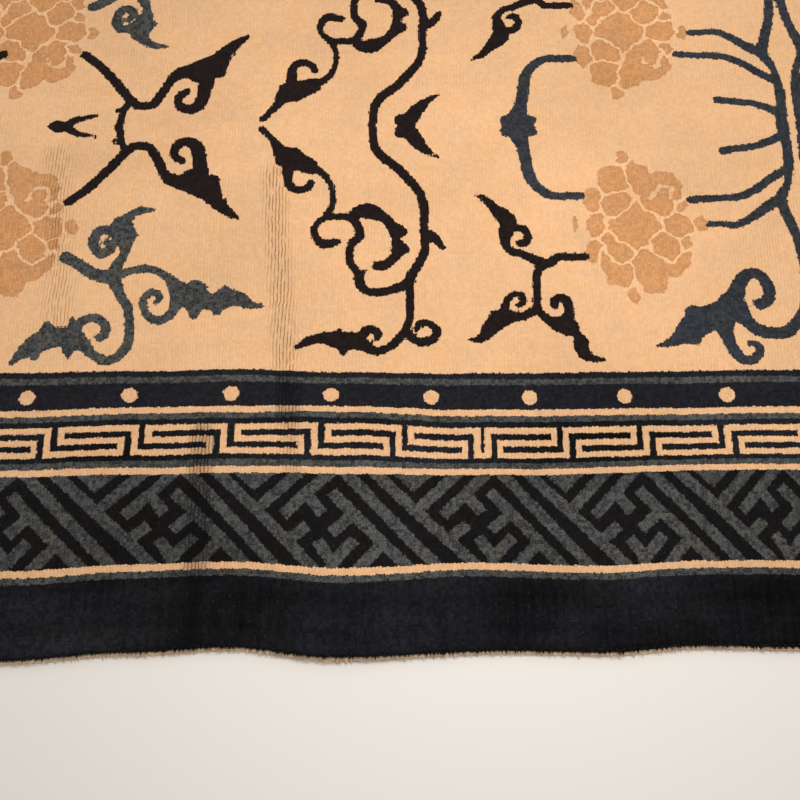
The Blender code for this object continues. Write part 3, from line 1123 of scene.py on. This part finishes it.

# %% [markdown]
# The wide fret is a lattice of slanting bars with short hooks, interlocked so that the dark
# ground between them draws the same figure again. Its bars are listed one by one: one repeat
# is 178.7 mm along the band and 112.5 mm across it. The ends of each bar are in millimetres,
# from the middle of the figure and up from the band's outer edge.

# %% The lattice's chart
LATTICE_PITCH = 0.1787
CHART_LONG = 178.7
CHART_REACH = CHART_LONG / 2 + 7
LATTICE_HALF_WIDTH = 0.0068
LATTICE_SOFT = 0.0007
LatticeBar = namedtuple("LatticeBar", "name x0 y0 x1 y1")
LATTICE = [
    LatticeBar("upper arm", -69, 70, -24, 116),
    LatticeBar("long bar", -121, 116, -9, 0),
    LatticeBar("long bar's hook", -35, 31, -20, 44),
    LatticeBar("crook", 10, 116, -38, 65),
    LatticeBar("crook's hook", -15, 86, -2, 69),
    LatticeBar("spine", 16, 86, 95, -1),
    LatticeBar("spine's hook", 33, 61, 17, 46),
    LatticeBar("spine's foot", 66, 26, 42, -2),
    LatticeBar("left of the vee", 1, 26, 14, 7),
    LatticeBar("right of the vee", 33, 28, 14, 7),
    LatticeBar("foot of the vee", 14, 6, 12, -4),
    LatticeBar("through bar", 25, 116, 128, -2),
    LatticeBar("wedge, left", -93, 117, -76, 100),
    LatticeBar("wedge, right", -59, 117, -76, 100),
    LatticeBar("wedge, middle", -80, 112, -72, 112),
]


def lattice_bars():
    """All bars that reach into one repeat, those of its neighbours among them."""
    bars = []
    for bar in LATTICE:
        for shift in (-CHART_LONG, 0, CHART_LONG):
            ends = [(bar.x0 + shift, bar.y0), (bar.x1 + shift, bar.y1)]
            if max(ends)[0] > -CHART_REACH and min(ends)[0] < CHART_REACH:
                bars.append([(x / 1000, y / 1000) for x, y in ends])
    return bars


def lattice_mask(tree, along, inset, moved, jitter):
    """1 on the lattice's bars, which stay on their own band."""
    turn = calc(tree, "MULTIPLY_ADD", along, 1 / LATTICE_PITCH, 0.5)
    turn = calc(tree, "FRACT", turn)
    x = calc(tree, "MULTIPLY", calc(tree, "SUBTRACT", turn, 0.5), LATTICE_PITCH)
    y = calc(tree, "SUBTRACT", inset, BAND_START["lattice"])
    bars = bars_distance(tree, flat_place(tree, x, y), lattice_bars(), LATTICE_HALF_WIDTH)
    half = BAND_WIDTH["lattice"] / 2
    off_band = off_middle(tree, moved, BAND_START["lattice"] + half)
    off_band = calc(tree, "SUBTRACT", off_band, half)
    bars = calc(tree, "MULTIPLY_ADD", jitter, EDGE_JITTER, bars)
    return within(tree, calc(tree, "MAXIMUM", bars, off_band), LATTICE_SOFT)


print("lattice bars in reach:", len(lattice_bars()))

# %% [markdown]
# The weaver counted knots by eye, so a repeat is not always the same length and a band not
# always at the same depth. Two tables say how far: the first is how far along each drawing
# has drifted, the second how far in four of the bands' lines and the field's edge sway. Both
# are in millimetres, at places from the middle of the near end. The other sides use them in
# proportion.

# %% How the bands drift and sway
Drift = namedtuple("Drift", "along key lattice pearls")
DRIFTS = [
    Drift(-1.220, 0, -30, 0), Drift(-0.750, -4, -30, -3), Drift(-0.520, -6, -26, -3),
    Drift(-0.400, -3, -16, 0), Drift(-0.300, 2, -14, 1), Drift(-0.190, 9, -11, 0),
    Drift(-0.100, 8, -6, 0), Drift(-0.012, 0, -5, 0), Drift(0.012, 0, -5, 0),
    Drift(0.090, -7, -7, -4), Drift(0.185, -13, -10, -10), Drift(0.280, -17, -13, -6),
    Drift(0.360, -16, -24, -5), Drift(0.800, -6, -30, -2), Drift(1.220, 0, -30, 0),
]
Sway = namedtuple("Sway", "along outer_cream middle_cream key inner_cream field")
SWAYS = [
    Sway(-1.22, 0, 0, 0, 0, 0), Sway(-0.70, 1, 2, -2, -2, 1), Sway(-0.49, 1, 2, 2, 2, 3),
    Sway(-0.38, 2, -1, 0, 2, 1), Sway(-0.28, 1, -2, 0, 0, 1), Sway(-0.21, 1, 4, 3, 7, 2),
    Sway(-0.14, 1, 4, 4, 7, 2), Sway(-0.04, 4, -1, -5, -2, -2), Sway(0.06, 1, -2, -5, -2, -2),
    Sway(0.14, 0, 2, -2, 0, 0), Sway(0.24, 0, 1, -4, -3, -2), Sway(0.32, 2, 4, -1, 0, 1),
    Sway(0.70, -1, -2, 3, 3, 1), Sway(1.22, 0, 0, 0, 0, 0),
]


def read_off(table, column, along, half_side):
    """A table's column in metres, at places along a side of any length."""
    share = along * PILE_HALF_WIDTH / half_side
    values = [getattr(row, column) / 1000 for row in table]
    return np.interp(share, [row.along for row in table], values)


def drifted(along, half_side, drawing):
    """Places along a side as one drawing sees them."""
    return along - read_off(DRIFTS, drawing, along, half_side)


def swayed(along, inset, half_side):
    """Depths from the pile's edge as the bands see them."""
    depths = [0] + [BAND_START[name] for name in Sway._fields[1:-1]] + [BORDER]
    shifts = [np.zeros_like(along)]
    shifts += [read_off(SWAYS, name, along, half_side) for name in Sway._fields[1:]]
    shift = (inset >= BORDER) * shifts[-1]
    for number, (start, end) in enumerate(zip(depths, depths[1:])):
        part = (inset - start) / (end - start)
        between = (part >= 0) & (part < 1)
        shift += between * (shifts[number] * (1 - part) + shifts[number + 1] * part)
    return inset - shift


print("stations:", len(DRIFTS), "for the drift,", len(SWAYS), "for the sway")

# %% [markdown]
# Now the border's wool: first the grounds of the bands, yarn by yarn, then the key line, the
# pearls and the lattice laid over them. The ends and the sides differ only in their repeats,
# which are stretched a little so that a whole number of them reaches the corner.

# %% The border's wool
BAND_SOFT = 0.0004
BORDER_GAP_SHADE = (0.40, 0.34, 0.30)
BORDER_PARTED_SHADE = 0.65
PEARL_RADIUS = 0.0095
PEARL_REPEATS = {"end": 7.5, "side": 10.5}
pearl_middle = BAND_START["pearls"] + BAND_WIDTH["pearls"] / 2


def pearl_mask(tree, along, inset, shift, pitch):
    """1 on the pearls, one in each repeat."""
    turn = calc(tree, "FRACT", calc(tree, "DIVIDE", along, pitch))
    turn = calc(tree, "SUBTRACT", turn, 0.5)
    x = calc(tree, "MULTIPLY", turn, pitch)
    y = calc(tree, "SUBTRACT", inset, pearl_middle)
    round_off = vector_calc(tree, "LENGTH", flat_place(tree, x, y), output="Value")
    pearl = calc(tree, "ADD", calc(tree, "SUBTRACT", round_off, PEARL_RADIUS), shift)
    return within(tree, pearl, EDGE_SOFT)


def ground_mask(tree, moved, ground):
    """1 on all the bands of one yarn."""
    inside = None
    for band in BANDS:
        if band.ground != ground:
            continue
        middle = BAND_START[band.name] + band.width / 2
        off = calc(tree, "SUBTRACT", off_middle(tree, moved, middle), band.width / 2)
        here = within(tree, off, BAND_SOFT)
        inside = here if inside is None else calc(tree, "MAXIMUM", inside, here)
    return inside


def border_material(name, kind, half_side):
    """The border's wool, for the two ends or the two sides."""
    material, tree, shader, rug, pile, dyed = wool_material(name)
    place = add(tree, "ShaderNodeUVMap", uv_map="Border").outputs[0]
    inset = add(tree, "ShaderNodeSeparateXYZ", {"Vector": place}).outputs["Y"]
    shift = calc(tree, "MULTIPLY", pile["Jitter"], BAND_JITTER)
    moved = calc(tree, "ADD", inset, shift)
    key_pitch = (half_side - key_middle - KEY_U) / KEY_REPEATS[kind]
    pearl_pitch = (half_side - pearl_middle) / PEARL_REPEATS[kind]

    colour = dyed(BANDS[0].ground)
    for ground in sorted({band.ground for band in BANDS}):
        colour = blend(tree, ground_mask(tree, moved, ground), colour, dyed(ground))
    key = key_mask(tree, carried(tree, "key_along"), inset, shift, key_pitch)
    colour = blend(tree, key, colour, dyed("cream"))
    pearls = pearl_mask(tree, carried(tree, "pearls_along"), inset, shift, pearl_pitch)
    colour = blend(tree, pearls, colour, dyed("cream"))
    lattice = lattice_mask(tree, carried(tree, "lattice_along"), inset, moved, pile["Jitter"])
    colour = blend(tree, lattice, colour, dyed("slate"))

    # Painted shade: where the pile is parted over a ripple's crest, the border's colour is darkened.
    parted = ramp(tree, carried(tree, "opened"), 0.0, 1.0, 1.0, BORDER_PARTED_SHADE)
    colour = tinted(tree, colour, parted)
    finish_wool(tree, shader, pile, colour, pile["Height"], BORDER_GAP_SHADE, depth=0.0007)
    return material


end_wool = border_material("end border wool", "end", PILE_HALF_WIDTH)
side_wool = border_material("side border wool", "side", PILE_HALF_LENGTH)
print("border wool:", len(end_wool.node_tree.nodes), "nodes")

# %% [markdown]
# Meshes that follow a grid are filled from arrays, which is much faster than adding their
# faces one by one. The helper takes places for each point of the grid, UV maps and plain
# attributes, and makes quads.

# %% A helper for grid meshes
def grid_faces(rows, columns):
    """The points of a grid by number, and the four corners of each of its faces."""
    numbers = np.arange(rows * columns).reshape(rows, columns)
    corners = [numbers[:-1, :-1], numbers[:-1, 1:], numbers[1:, 1:], numbers[1:, :-1]]
    return numbers, np.stack(corners, axis=-1).reshape(-1, 4)


def grid_piece(name, x, y, z, uv_maps, attributes, material):
    """A mesh object over a grid of places, with its UV maps and attributes."""
    mesh = bpy.data.meshes.new(name)
    mesh.vertices.add(x.size)
    places = np.stack([x, y, z], axis=-1).astype(np.float32)
    mesh.vertices.foreach_set("co", places.ravel())
    corners = grid_faces(*x.shape)[1].astype(np.int32)
    mesh.loops.add(corners.size)
    mesh.loops.foreach_set("vertex_index", corners.ravel())
    mesh.polygons.add(len(corners))
    mesh.polygons.foreach_set("loop_start", np.arange(0, corners.size, 4, dtype=np.int32))
    mesh.update(calc_edges=True)
    for label, (first, second) in uv_maps.items():
        layer = mesh.uv_layers.new(name=label)
        pairs = np.stack([first, second], axis=-1).reshape(-1, 2)[corners.ravel()]
        layer.data.foreach_set("uv", pairs.astype(np.float32).ravel())
    for label, values in attributes.items():
        attribute = mesh.attributes.new(label, "FLOAT", "POINT")
        attribute.data.foreach_set("value", values.astype(np.float32).ravel())
    mesh.materials.append(material)
    mesh.shade_smooth()
    return place_object(name, mesh)


def declare(piece):
    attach(piece, "root")
    print(piece.name, len(piece.data.polygons), "faces")
    return piece


# %% [markdown]
# The field is made as four quarters, so that each stays a mesh of sensible size. They share
# the points along their joints.

# %% The field
grid_u, grid_v = np.meshgrid(field_u, field_v)
field_x, field_y, field_lift = laid(grid_u, grid_v)
maps = dict(drawn)
maps.update({f"petals_{layer}": values for layer, values in enumerate(petal_maps)})
maps["opened"] = opened(grid_u, grid_v)
ends = swayed(grid_u * np.sign(-grid_v), PILE_HALF_LENGTH - np.abs(grid_v), PILE_HALF_WIDTH)
sides = swayed(grid_v * np.sign(grid_u), PILE_HALF_WIDTH - np.abs(grid_u), PILE_HALF_LENGTH)
maps["field_edge"] = np.minimum(ends, sides) - BORDER
half_rows, half_columns = rows // 2, columns // 2
QUARTERS = {
    "field_near_left": (slice(0, half_rows + 1), slice(0, half_columns + 1)),
    "field_near_right": (slice(0, half_rows + 1), slice(half_columns, columns)),
    "field_far_left": (slice(half_rows, rows), slice(0, half_columns + 1)),
    "field_far_right": (slice(half_rows, rows), slice(half_columns, columns)),
}
for name, part in QUARTERS.items():
    piece = grid_piece(
        name, field_x[part], field_y[part], (field_lift + THICKNESS)[part],
        {"Rug": (grid_u[part], grid_v[part])},
        {label: values[part] for label, values in maps.items()},
        field_wool,
    )
    declare(piece)

# %% [markdown]
# Each side of the border is a strip with mitred ends. Its rows run from the pile's outer
# edge, where the tufts lean out and round over, to just under the field's edge.

# %% The border
RIM = [(0.0, 0.0045), (0.0004, 0.0064), (0.0012, 0.0078), (0.0024, 0.0087), (0.0042, THICKNESS)]
BORDER_PITCH = 0.0105
TUCK = 0.003
TUCK_DROP = 0.0008
STRIP_END = BORDER - FIELD_OVERLAP
inner_rows = math.ceil((STRIP_END - RIM[-1][0]) / BORDER_PITCH)
insets = [inset for inset, height in RIM]
insets += list(np.linspace(RIM[-1][0], STRIP_END, inner_rows + 1)[1:]) + [STRIP_END + TUCK]
heights = [height for inset, height in RIM] + [THICKNESS] * inner_rows + [THICKNESS - TUCK_DROP]
Side = namedtuple("Side", "name half_side other_half turns material")
SIDES = [
    Side("border_near", PILE_HALF_WIDTH, PILE_HALF_LENGTH, 0, end_wool),
    Side("border_right", PILE_HALF_LENGTH, PILE_HALF_WIDTH, 1, side_wool),
    Side("border_far", PILE_HALF_WIDTH, PILE_HALF_LENGTH, 2, end_wool),
    Side("border_left", PILE_HALF_LENGTH, PILE_HALF_WIDTH, 3, side_wool),
]


def turned(across, along, turns):
    """Quarter turns, anticlockwise."""
    for number in range(turns):
        across, along = -along, across
    return across, along


for side in SIDES:
    count = math.ceil(2 * side.half_side / BORDER_PITCH)
    share, inset = np.meshgrid(np.linspace(-1, 1, count + 1), insets)
    height = np.repeat(np.array(heights)[:, None], count + 1, axis=1)
    along = share * (side.half_side - inset)
    u, v = turned(along, inset - side.other_half, side.turns)
    x, y, off_floor = laid(u, v)
    values = {drawing + "_along": drifted(along, side.half_side, drawing)
              for drawing in ("key", "lattice", "pearls")}
    values["opened"] = opened(u, v)
    bands = (along, swayed(along, inset, side.half_side))
    piece = grid_piece(side.name, x, y, off_floor + height, {"Rug": (u, v), "Border": bands},
                       values, side.material)
    declare(piece)

# %% [markdown]
# Under the pile lies the foundation, a plain cotton cloth. Its underside is woven, and at
# both ends it runs on past the pile as a narrow web. It is one closed sheet.

# %% The foundation's cotton
SOILED_COTTON = (0.72, 0.49, 0.32, 1)
CLEAN_COTTON = (0.95, 0.73, 0.51, 1)
cotton, tree, shader = new_material(
    "cotton foundation", {"Roughness": 0.9, "Specular IOR Level": 0.2})
place = add(tree, "ShaderNodeTexCoord").outputs["Object"]
warps = add(tree, "ShaderNodeTexWave", {"Vector": place, "Scale": 1 / KNOT_ACROSS, "Distortion": 0.6},
            bands_direction="X")
wefts = add(tree, "ShaderNodeTexWave", {"Vector": place, "Scale": 1.6 / KNOT_ALONG, "Distortion": 0.8},
            bands_direction="Y")
weave = calc(tree, "MULTIPLY", warps.outputs["Fac"], wefts.outputs["Fac"])
soil = ramp(tree, noise(tree, place, 60, detail=4, roughness=0.7), 0.3, 0.7)
cotton_colour = blend(tree, soil, SOILED_COTTON, CLEAN_COTTON)
# Painted shade: the hollows of the weave between the threads are darker.
cotton_colour = tinted(tree, cotton_colour, ramp(tree, weave, 0.0, 0.6, 0.85, 1.0))
cover(tree, shader, cotton_colour, weave, 0.0006, strength=0.8)
print("cotton foundation:", len(tree.nodes), "nodes")

# %% [markdown]
# The sheet's top and underside are the same grid at two heights, joined by a wall all the way
# round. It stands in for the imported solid, whose shape the pile above it keeps.

# %% The foundation
FOUNDATION_PITCH = 0.030
UNDER_PILE = 0.0004
WORN = 0.0028


def foundation_sheet():
    """A closed sheet: the top, the underside, and the four edges between them."""
    half_u, half_v = WIDTH / 2 - UNDER_PILE, LENGTH / 2 - WORN
    across = np.linspace(-half_u, half_u, round(WIDTH / FOUNDATION_PITCH))
    along = np.linspace(-half_v, half_v, round(LENGTH / FOUNDATION_PITCH))
    u, v = np.meshgrid(across, along)
    x, y, off_floor = laid(u, v)
    top = np.stack([x, y, off_floor + WEB_THICKNESS], axis=-1).reshape(-1, 3)
    under = np.stack([x, y, off_floor], axis=-1).reshape(-1, 3)
    numbers, quads = grid_faces(*x.shape)
    ring = np.concatenate([numbers[0, :-1], numbers[:-1, -1], numbers[-1, :0:-1], numbers[:0:-1, 0]])
    after = np.roll(ring, -1)
    walls = np.stack([ring + x.size, after + x.size, after, ring], axis=-1)
    faces = np.vstack([quads, quads[:, ::-1] + x.size, walls])
    mesh = bpy.data.meshes.new("foundation")
    mesh.from_pydata(np.vstack([top, under]).tolist(), [], faces.tolist())
    mesh.materials.append(cotton)
    mesh.shade_smooth()
    mesh.set_sharp_from_angle(angle=math.radians(40))
    return place_object("foundation", mesh)


foundation = declare(foundation_sheet())
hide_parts("pile_rug")

# %% [markdown]
# The last tufts at the rug's rim have nothing beside them to hold them up, so they lean out
# over the edge and make it bristly. Geometry Nodes set one tuft after another along the rim,
# each turned, tilted and sized at random. The rim is handed over as a closed curve that
# follows the wandering edge.

# %% Helpers for Geometry Nodes
GEOMETRY, WHOLE, MATERIAL = "NodeSocketGeometry", "NodeSocketInt", "NodeSocketMaterial"


def path_object(name, x, y, z, closed=False):
    """A curve of straight spans through some points."""
    curve = bpy.data.curves.new(name, "CURVE")
    curve.dimensions = "3D"
    spline = curve.splines.new("POLY")
    spline.points.add(len(x) - 1)
    spline.points.foreach_set("co", np.stack([x, y, z, np.ones_like(x)], axis=-1).ravel())
    spline.use_cyclic_u = closed
    return place_object(name, curve)


def rim_curve(name, inset, height, pitch):
    """A closed curve round the rug, anticlockwise, just inside the pile's edge."""
    half_u, half_v = PILE_HALF_WIDTH - inset, PILE_HALF_LENGTH - inset
    corners = [(-half_u, -half_v), (half_u, -half_v), (half_u, half_v), (-half_u, half_v)]
    us, vs = [], []
    for (u0, v0), (u1, v1) in zip(corners, corners[1:] + corners[:1]):
        count = round(math.hypot(u1 - u0, v1 - v0) / pitch)
        us.append(np.linspace(u0, u1, count, endpoint=False))
        vs.append(np.linspace(v0, v1, count, endpoint=False))
    x, y, off_floor = laid(np.concatenate(us), np.concatenate(vs))
    return path_object(name, x, y, off_floor + height, closed=True)


def geometry_tree(name, inputs):
    """A geometry node tree, from one geometry to another."""
    inputs = [("Geometry", GEOMETRY, None), *inputs]
    return open_group(name, inputs, [("Geometry", GEOMETRY)], "GeometryNodeTree")


def random_value(tree, low, high, seed, offset, kind="FLOAT"):
    """A random number or vector for each point, from the seed plus an offset."""
    number = calc(tree, "ADD", seed, float(offset))
    node = add(tree, "FunctionNodeRandomValue", data_type=kind)
    low_socket, high_socket = (0, 1) if kind == "FLOAT_VECTOR" else (2, 3)
    node.inputs[low_socket].default_value = low
    node.inputs[high_socket].default_value = high
    tree.links.new(number, node.inputs["Seed"])
    return node.outputs["Value"] if kind == "FLOAT_VECTOR" else node.outputs[1]


def set_along(tree, given, cone, leaning, stray, scale):
    """Cones along a curve, turned outwards, each with its own stray and scale."""
    points = add(tree, "GeometryNodeCurveToPoints",
                 {"Curve": given["Geometry"], "Length": given["Spacing"]}, mode="LENGTH")
    outwards = vector_calc(tree, "CROSS_PRODUCT", points.outputs["Tangent"], (0, 0, 1))
    strayed = random_value(tree, *stray, given["Seed"], 0, "FLOAT_VECTOR")
    heading = vector_calc(tree, "ADD", leaning(outwards), strayed)
    facing = add(tree, "FunctionNodeAlignRotationToVector", {"Vector": heading}, axis="Z")
    shape = add(tree, "GeometryNodeMeshCone", {"Vertices": 5, "Fill Segments": 1, **cone})
    placed = add(tree, "GeometryNodeInstanceOnPoints", {
        "Points": points.outputs["Points"], "Instance": shape.outputs["Mesh"],
        "Rotation": facing.outputs["Rotation"],
        "Scale": random_value(tree, *scale, given["Seed"], 1, "FLOAT_VECTOR")})
    return placed.outputs["Instances"]


def finish_tree(tree, geometry, wear, result):
    """Ends a tree: instances are made real, and the material is set."""
    real = add(tree, "GeometryNodeRealizeInstances", {"Geometry": geometry})
    dressed = add(tree, "GeometryNodeSetMaterial", {
        "Geometry": real.outputs["Geometry"], "Material": wear})
    tree.links.new(dressed.outputs["Geometry"], result["Geometry"])


print("the rim is", round(2 * (WIDTH + LENGTH), 2), "m round")

# %% [markdown]
# A tuft is a small cone, wide at its foot. It is made at the origin, leans out by the tree's
# own input, and remembers a shade of its own for the material.

# %% The tree of the rim's tufts
tuft_tree, given, result = geometry_tree(
    "tufts along a rim",
    [("Spacing", FLOAT, 0.002), ("Tuft length", FLOAT, 0.006), ("Tuft radius", FLOAT, 0.0016),
     ("Lean", FLOAT, 0.9), ("Seed", WHOLE, 1), ("Wool", MATERIAL, None)],
)
tree = tuft_tree


def tilted(outwards):
    """Outwards and a little up, by the tree's own lean."""
    leant = add(tree, "ShaderNodeVectorMath", {0: outwards, "Scale": given["Lean"]}, operation="SCALE")
    return vector_calc(tree, "ADD", leant.outputs[0], (0, 0, 0.25))


tufts = set_along(
    tree, given,
    cone={"Side Segments": 2, "Radius Top": 0.0004, "Radius Bottom": given["Tuft radius"],
          "Depth": given["Tuft length"]},
    leaning=tilted,
    stray=((-0.38, -0.38, -0.1), (0.38, 0.38, 0.35)),
    scale=((0.7, 0.7, 0.55), (1.25, 1.25, 1.5)),
)
stored = add(tree, "GeometryNodeStoreNamedAttribute", {
    "Geometry": tufts, "Name": "tuft shade", "Value": random_value(tree, 0.0, 1.0, given["Seed"], 2)},
    data_type="FLOAT", domain="INSTANCE")
finish_tree(tree, stored.outputs["Geometry"], given["Wool"], result)
print("the tufts' tree has", len(tree.nodes), "nodes")

# %% [markdown]
# The rim's wool is the outer band's navy, mixed tuft by tuft.

# %% The rim's wool
rim_wool, tree, shader = new_material("rim wool", WOOL_FINISH)
own = carried(tree, "tuft shade")
place = add(tree, "ShaderNodeTexCoord").outputs["Object"]
strands = noise(tree, place, 900, detail=3, roughness=0.7)
mix = calc(tree, "MULTIPLY_ADD", own, 0.6, calc(tree, "MULTIPLY", strands, 0.5))
navy = YARNS["navy"]
rim_colour = blend(tree, mix, (*navy.dark, 1), (*navy.light, 1))
cover(tree, shader, rim_colour, strands, 0.0006, strength=0.7)
print("rim wool:", len(tree.nodes), "nodes")

# %% [markdown]
# The tree runs as a modifier on the rim's curve. Its result is kept as a plain mesh, and both
# the modifier and the curve go. A low row stands out at the pile's foot and a high one above
# it, each with its own seed.

# %% Two rows of tufts
def grown(path, tree, name, values):
    """Runs a node tree on a curve and keeps the result as a plain mesh piece."""
    modifier = path.modifiers.new("grown", "NODES")
    modifier.node_group = tree
    sockets = {item.name: item.identifier for item in tree.interface.items_tree
               if item.item_type == "SOCKET" and item.in_out == "INPUT"}
    for label, value in values.items():
        modifier[sockets[label]] = value
    evaluated = path.evaluated_get(bpy.context.evaluated_depsgraph_get())
    mesh = bpy.data.meshes.new_from_object(evaluated)
    mesh.name = name
    path.modifiers.remove(modifier)
    bpy.data.objects.remove(path)
    return place_object(name, mesh)


PATH_PITCH = 0.01
TuftRow = namedtuple("TuftRow", "name inset height values")
ROWS_OF_TUFTS = [
    TuftRow("rim_tufts_low", 0.0020, 0.0042, {"Lean": 0.8, "Tuft length": 0.0042, "Seed": 11}),
    TuftRow("rim_tufts_high", 0.0034, 0.0062, {"Lean": 0.5, "Tuft length": 0.0048, "Seed": 29}),
]
for row in ROWS_OF_TUFTS:
    path = rim_curve(row.name + "_path", row.inset, row.height, PATH_PITCH)
    values = {"Spacing": 0.0021, "Tuft radius": 0.0017, "Wool": rim_wool, **row.values}
    declare(grown(path, tuft_tree, row.name, values))

# %% [markdown]
# Past the last knots the warps run on for a few millimetres in a cotton web. Time has worn
# it ragged: some warp ends stand out, others have gone. Geometry Nodes lay a short cotton
# cord over the web at every warp, and two wefts run along it.

# %% The trees of the warp ends and the wefts
warp_tree, given, result = geometry_tree(
    "warp ends",
    [("Spacing", FLOAT, 0.002), ("Cord length", FLOAT, 0.006), ("Cord radius", FLOAT, 0.0007),
     ("Seed", WHOLE, 1), ("Cotton", MATERIAL, None)],
)
tree = warp_tree
warp_ends = set_along(
    tree, given,
    cone={"Side Segments": 3, "Radius Top": 0.0003, "Radius Bottom": given["Cord radius"],
          "Depth": given["Cord length"]},
    leaning=lambda outwards: outwards,
    stray=((-0.45, -0.1, -0.12), (0.45, 0.1, 0.05)),
    scale=((0.8, 0.8, 0.3), (1.2, 1.2, 1.3)),
)
finish_tree(tree, warp_ends, given["Cotton"], result)

weft_tree, given, result = geometry_tree(
    "wefts", [("Cord radius", FLOAT, 0.0007), ("Cotton", MATERIAL, None)]
)
tree = weft_tree
round_section = add(tree, "GeometryNodeCurvePrimitiveCircle", {
    "Resolution": 5, "Radius": given["Cord radius"]})
swept = add(tree, "GeometryNodeCurveToMesh", {
    "Curve": given["Geometry"], "Profile Curve": round_section.outputs["Curve"], "Fill Caps": True})
finish_tree(tree, swept.outputs["Mesh"], given["Cotton"], result)
print("the warp ends' tree has", len(warp_tree.nodes), "nodes, the wefts'", len(weft_tree.nodes))

# %% [markdown]
# The ends' paths follow the wandering edge. A weft rises and dips as it passes over and under
# the warps, so its path waves a little from one warp to the next.

# %% The cotton web at both ends
WEB_INSET = 0.002
WARP_REACH = WARP_HEIGHT = 0.0022
WEFT_REACHES = (0.0008, 0.0024)
WEFT_HEIGHT = 0.0026
WEFT_SWAY = 0.0003


def end_path(name, reach, height, end, pitch, sway=0.0):
    """An open curve along one end's web, so far out from the pile."""
    u = np.arange(-PILE_HALF_WIDTH + WEB_INSET, PILE_HALF_WIDTH - WEB_INSET, pitch)
    wave = sway * np.sin(u / KNOT_ACROSS * math.pi)
    v = np.full_like(u, PILE_HALF_LENGTH + reach) + wave * 0.4
    u, v = (u, -v) if end == "near" else (-u, v)
    x, y, off_floor = laid(u, v)
    return path_object(name, x, y, off_floor + height + wave)


for end, seed in (("near", 5), ("far", 17)):
    path = end_path(f"warp_path_{end}", WARP_REACH, WARP_HEIGHT, end, PATH_PITCH)
    values = {"Spacing": KNOT_ACROSS / 2, "Cord length": 0.0042, "Cord radius": 0.0009,
              "Seed": seed, "Cotton": cotton}
    declare(grown(path, warp_tree, f"warp_ends_{end}", values))
    for number, reach in enumerate(WEFT_REACHES, start=1):
        path = end_path(f"weft_path_{end}", reach, WEFT_HEIGHT, end, KNOT_ACROSS / 2, WEFT_SWAY)
        weft = grown(path, weft_tree, f"weft_{end}_{number}", {"Cord radius": 0.0007, "Cotton": cotton})
        declare(weft)

# %% [markdown]
# The stage is a plain pale floor under soft light. The photograph's light is warm and even,
# and comes from above the near end, a little to the right.

# %% Floor and light
FLOOR_HALF = 30.0
FLOOR_DROP = 0.0005
floor_mesh = bpy.data.meshes.new("floor")
floor_corners = [(x * FLOOR_HALF, y * FLOOR_HALF, -FLOOR_DROP)
                 for x, y in ((-1, -1), (1, -1), (1, 1), (-1, 1))]
floor_mesh.from_pydata(floor_corners, [], [(0, 1, 2, 3)])
floor = place_object("floor", floor_mesh)
pale, tree, shader = new_material(
    "pale floor", {"Base Color": (0.72, 0.70, 0.67, 1), "Roughness": 0.55})
floor_mesh.materials.append(pale)

Lamp = namedtuple("Lamp", "name place aim size watts colour")
LAMPS = [
    Lamp("key", (0.06, -0.98, 1.30), (0.05, -0.96, 0), 0.6, 15, (1.0, 0.95, 0.89)),
    Lamp("front", (0.8, -3.4, 2.6), (0, -0.8, 0), 2.2, 16, (1.0, 0.94, 0.87)),
    Lamp("fill", (-2.6, 0.9, 3.0), (0, 0.2, 0), 3.0, 34, (1.0, 0.96, 0.92)),
    Lamp("back", (0.6, 3.6, 3.2), (0, 0.8, 0), 2.5, 44, (1.0, 0.97, 0.94)),
]
for lamp in LAMPS:
    data = bpy.data.lights.new(lamp.name, "AREA")
    data.size = lamp.size
    data.energy = lamp.watts
    data.color = lamp.colour
    light = place_object(lamp.name, data)
    light.location = lamp.place
    towards = Vector(lamp.aim) - Vector(lamp.place)
    light.rotation_euler = towards.to_track_quat("-Z", "Y").to_euler()
print("lamps:", len(LAMPS))

world = bpy.data.worlds.new("studio")
world.use_nodes = True
background = world.node_tree.nodes["Background"]
background.inputs["Color"].default_value = (1.0, 0.97, 0.93, 1)
background.inputs["Strength"].default_value = 0.30
bpy.context.scene.world = world
bpy.context.scene.view_settings.view_transform = "Standard"
